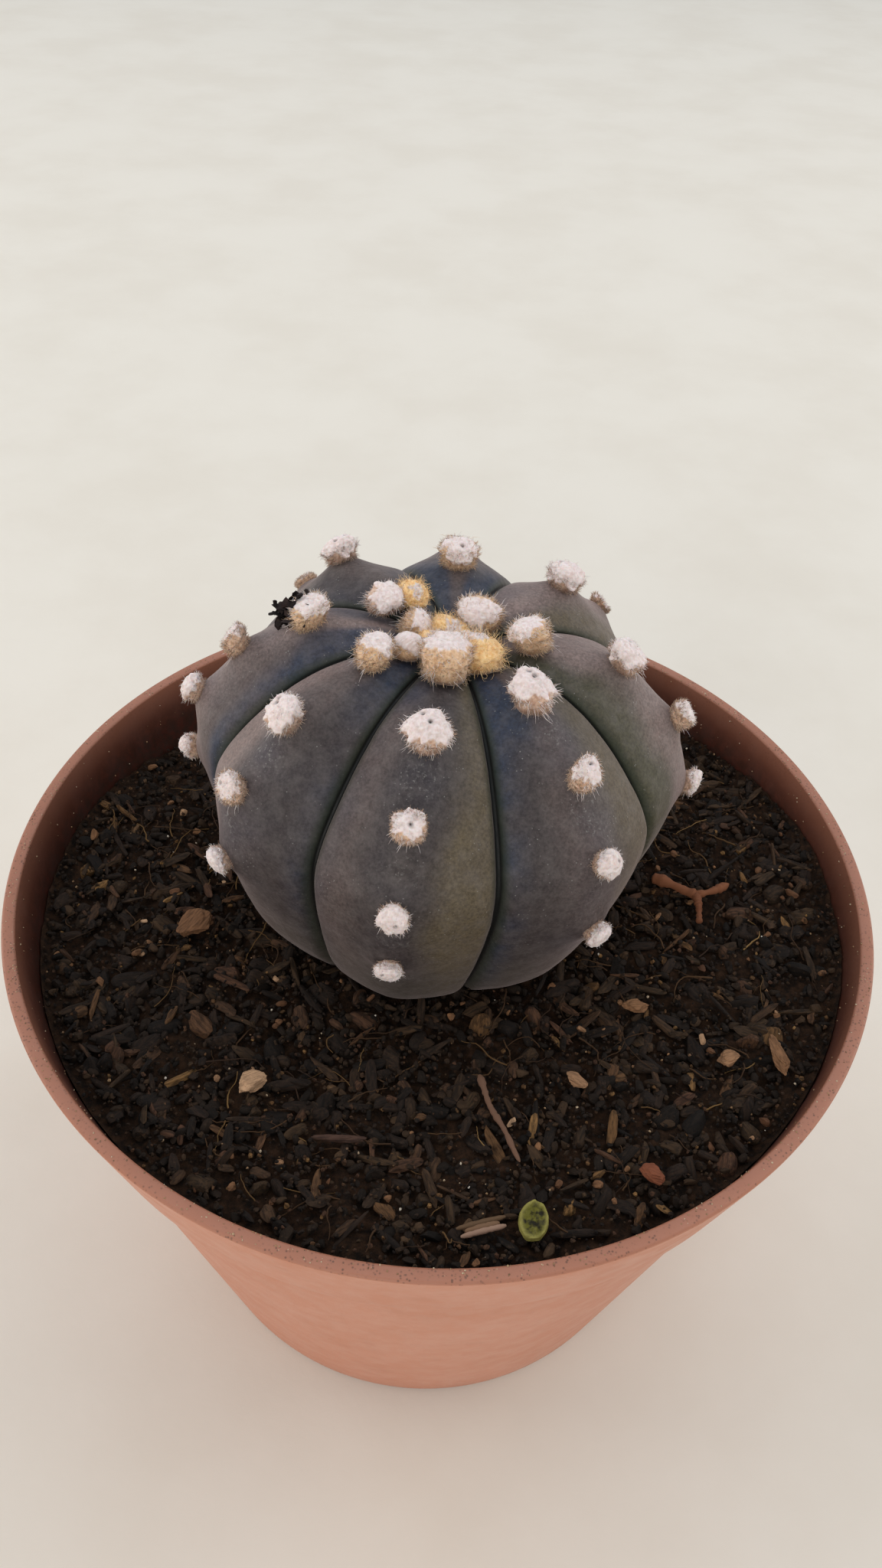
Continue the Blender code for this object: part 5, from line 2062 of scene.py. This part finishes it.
    def rod(
        self, draft: MeshDraft, route: Sequence[Range], radius: float, tone: float, seed: int
    ) -> None:
        """Adds a knotty rod along a route over the mix.

        Args:
            draft: The piece's mesh.
            route: Places that it passes, in millimetres.
            radius: Its radius at the thick end.
            tone: Where its colour lies in its finish, from 0 to 1.
            seed: The seed of its chance.
        """
        chance = np.random.default_rng(seed)
        knots = np.array(route) * MM
        spans = np.append(0.0, np.cumsum(np.hypot(*np.diff(knots, axis=0).T)))
        steps = self.rod_steps
        t = np.linspace(0, spans[-1], steps)
        x, y = np.interp(t, spans, knots[:, 0]), np.interp(t, spans, knots[:, 1])
        soft = np.ones(7) / 7
        wider = (np.pad(each, len(soft) // 2, mode="reflect", reflect_type="odd") for each in (x, y))
        x, y = (np.convolve(each, soft, mode="valid") for each in wider)
        z = self.mix.level(x, y) + radius + self.rod_lift + 0.12 * MM * np.sin(t / MM)
        path = np.stack([x, y, z], axis=-1)
        share = t / spans[-1]
        knotty = (1 + 0.18 * np.sin(t / (0.7 * MM))) * chance.uniform(0.8, 1.18, steps)
        radii = radius * (1 - 0.35 * share) * knotty
        radii *= eased(share, -0.03, 0.03) * eased(share, 1.02, 0.96)
        radii = np.maximum(radii, 0.1 * radius)
        add_rods(draft, path[None], radii[None], self.rod_sides, tone=np.array([tone]), grain=0.0)

    def build_twigs(self) -> None:
        """The thin twig and the forked rootlet."""
        twig = MeshDraft()
        self.rod(twig, self.twig_route, self.twig_radius, 0.75, 31)
        settle(twig.make("thin_twig_piece", finish_of("twig")), "bark", "thin_twig")
        root = MeshDraft()
        self.rod(root, self.root_route, self.root_radius, 0.62, 32)
        self.rod(root, self.fork_route, self.fork_radius, 0.55, 33)
        settle(root.make("forked_rootlet_piece", finish_of("rootlet")), "bark", "forked_rootlet")


# The studio


@dataclass(frozen=True)
class SoftLight:
    """A square soft light that faces the pot."""

    name: str
    place: tuple[float, float, float]
    size: float
    power: float
    colour: Colour

    def build(self) -> None:
        """Makes the light."""
        lamp = bpy.data.lights.new(self.name, "AREA")
        lamp.size = self.size
        lamp.energy = self.power
        lamp.color = paint(self.colour)[:3]
        made = bpy.data.objects.new(self.name, lamp)
        made.location = self.place
        made.rotation_euler = (-Vector(self.place)).to_track_quat("-Z", "Y").to_euler()
        bpy.context.scene.collection.objects.link(made)


@dataclass(frozen=True)
class Studio:
    """A plain pale floor, soft light, and a camera that looks down on the plant."""

    camera_place: tuple[float, float, float] = (0.0, -103.13 * MM, 191.25 * MM)
    heading: float = -0.35
    pitch: float = -44.2
    roll: float = 3.05
    lens: float = 27.07
    sensor: float = 36.0
    nearest: float = 0.01
    floor_size: float = 6.0
    sky: Colour = "#E8F0F8"
    sky_strength: float = 0.70
    lights: tuple[SoftLight, ...] = (
        SoftLight("soft_front", (-0.35, -1.15, 0.50), 1.2, 7.0, "#FFF4E8"),
        SoftLight("soft_left", (-1.25, 0.35, 0.55), 1.0, 6.5, "#FFF6F0"),
        SoftLight("soft_right", (1.25, 0.35, 0.55), 1.0, 6.5, "#FFF6F0"),
        SoftLight("soft_top", (0.10, 0.55, 1.2), 1.4, 5.0, "#F6F8FF"),
    )

    def build(self) -> None:
        """Builds the floor, the lights, the sky and the camera."""
        self.build_floor()
        for light in self.lights:
            light.build()
        world = bpy.data.worlds.new("sky")
        world.use_nodes = True
        back = world.node_tree.nodes["Background"]
        back.inputs["Color"].default_value = paint(self.sky)
        back.inputs["Strength"].default_value = self.sky_strength
        bpy.context.scene.world = world
        bpy.context.scene.view_settings.view_transform = "Standard"
        self.add_camera()

    def build_floor(self) -> None:
        """The floor: a wide sheet at the pot's foot."""
        shell = bmesh.new()
        bmesh.ops.create_grid(shell, x_segments=4, y_segments=4, size=self.floor_size / 2)
        mesh = bpy.data.meshes.new("floor")
        shell.to_mesh(mesh)
        shell.free()
        mesh.materials.append(finish_of("floor"))
        floor = bpy.data.objects.new("floor", mesh)
        bpy.context.scene.collection.objects.link(floor)

    def add_camera(self) -> None:
        """The camera, from its heading, pitch and roll."""
        heading, pitch = math.radians(self.heading), math.radians(self.pitch)
        level = math.cos(pitch)
        ahead = Vector((math.sin(heading) * level, math.cos(heading) * level, math.sin(pitch)))
        data = bpy.data.cameras.new("camera")
        data.lens = self.lens
        data.sensor_width = self.sensor
        data.clip_start = self.nearest
        camera = bpy.data.objects.new("camera", data)
        camera.location = self.camera_place
        camera.rotation_mode = "QUATERNION"
        roll = Quaternion((0, 0, 1), math.radians(self.roll))
        camera.rotation_quaternion = ahead.to_track_quat("-Z", "Y") @ roll
        bpy.context.scene.collection.objects.link(camera)
        bpy.context.scene.camera = camera


def main() -> None:
    """Builds the pot, the mix, the plant, the loose pieces and the studio."""
    logging.basicConfig(level=logging.INFO, format="%(message)s")
    pot = NurseryPot()
    mix = PottingMix(pot)
    stem = Stem(StemShape(mix))
    loose = LoosePieces(mix)
    mix.keep_clear = loose.clear_spots()
    pot.build()
    mix.build(stem)
    stem.build()
    loose.build()
    Studio().build()


if __name__ == "__main__":
    main()
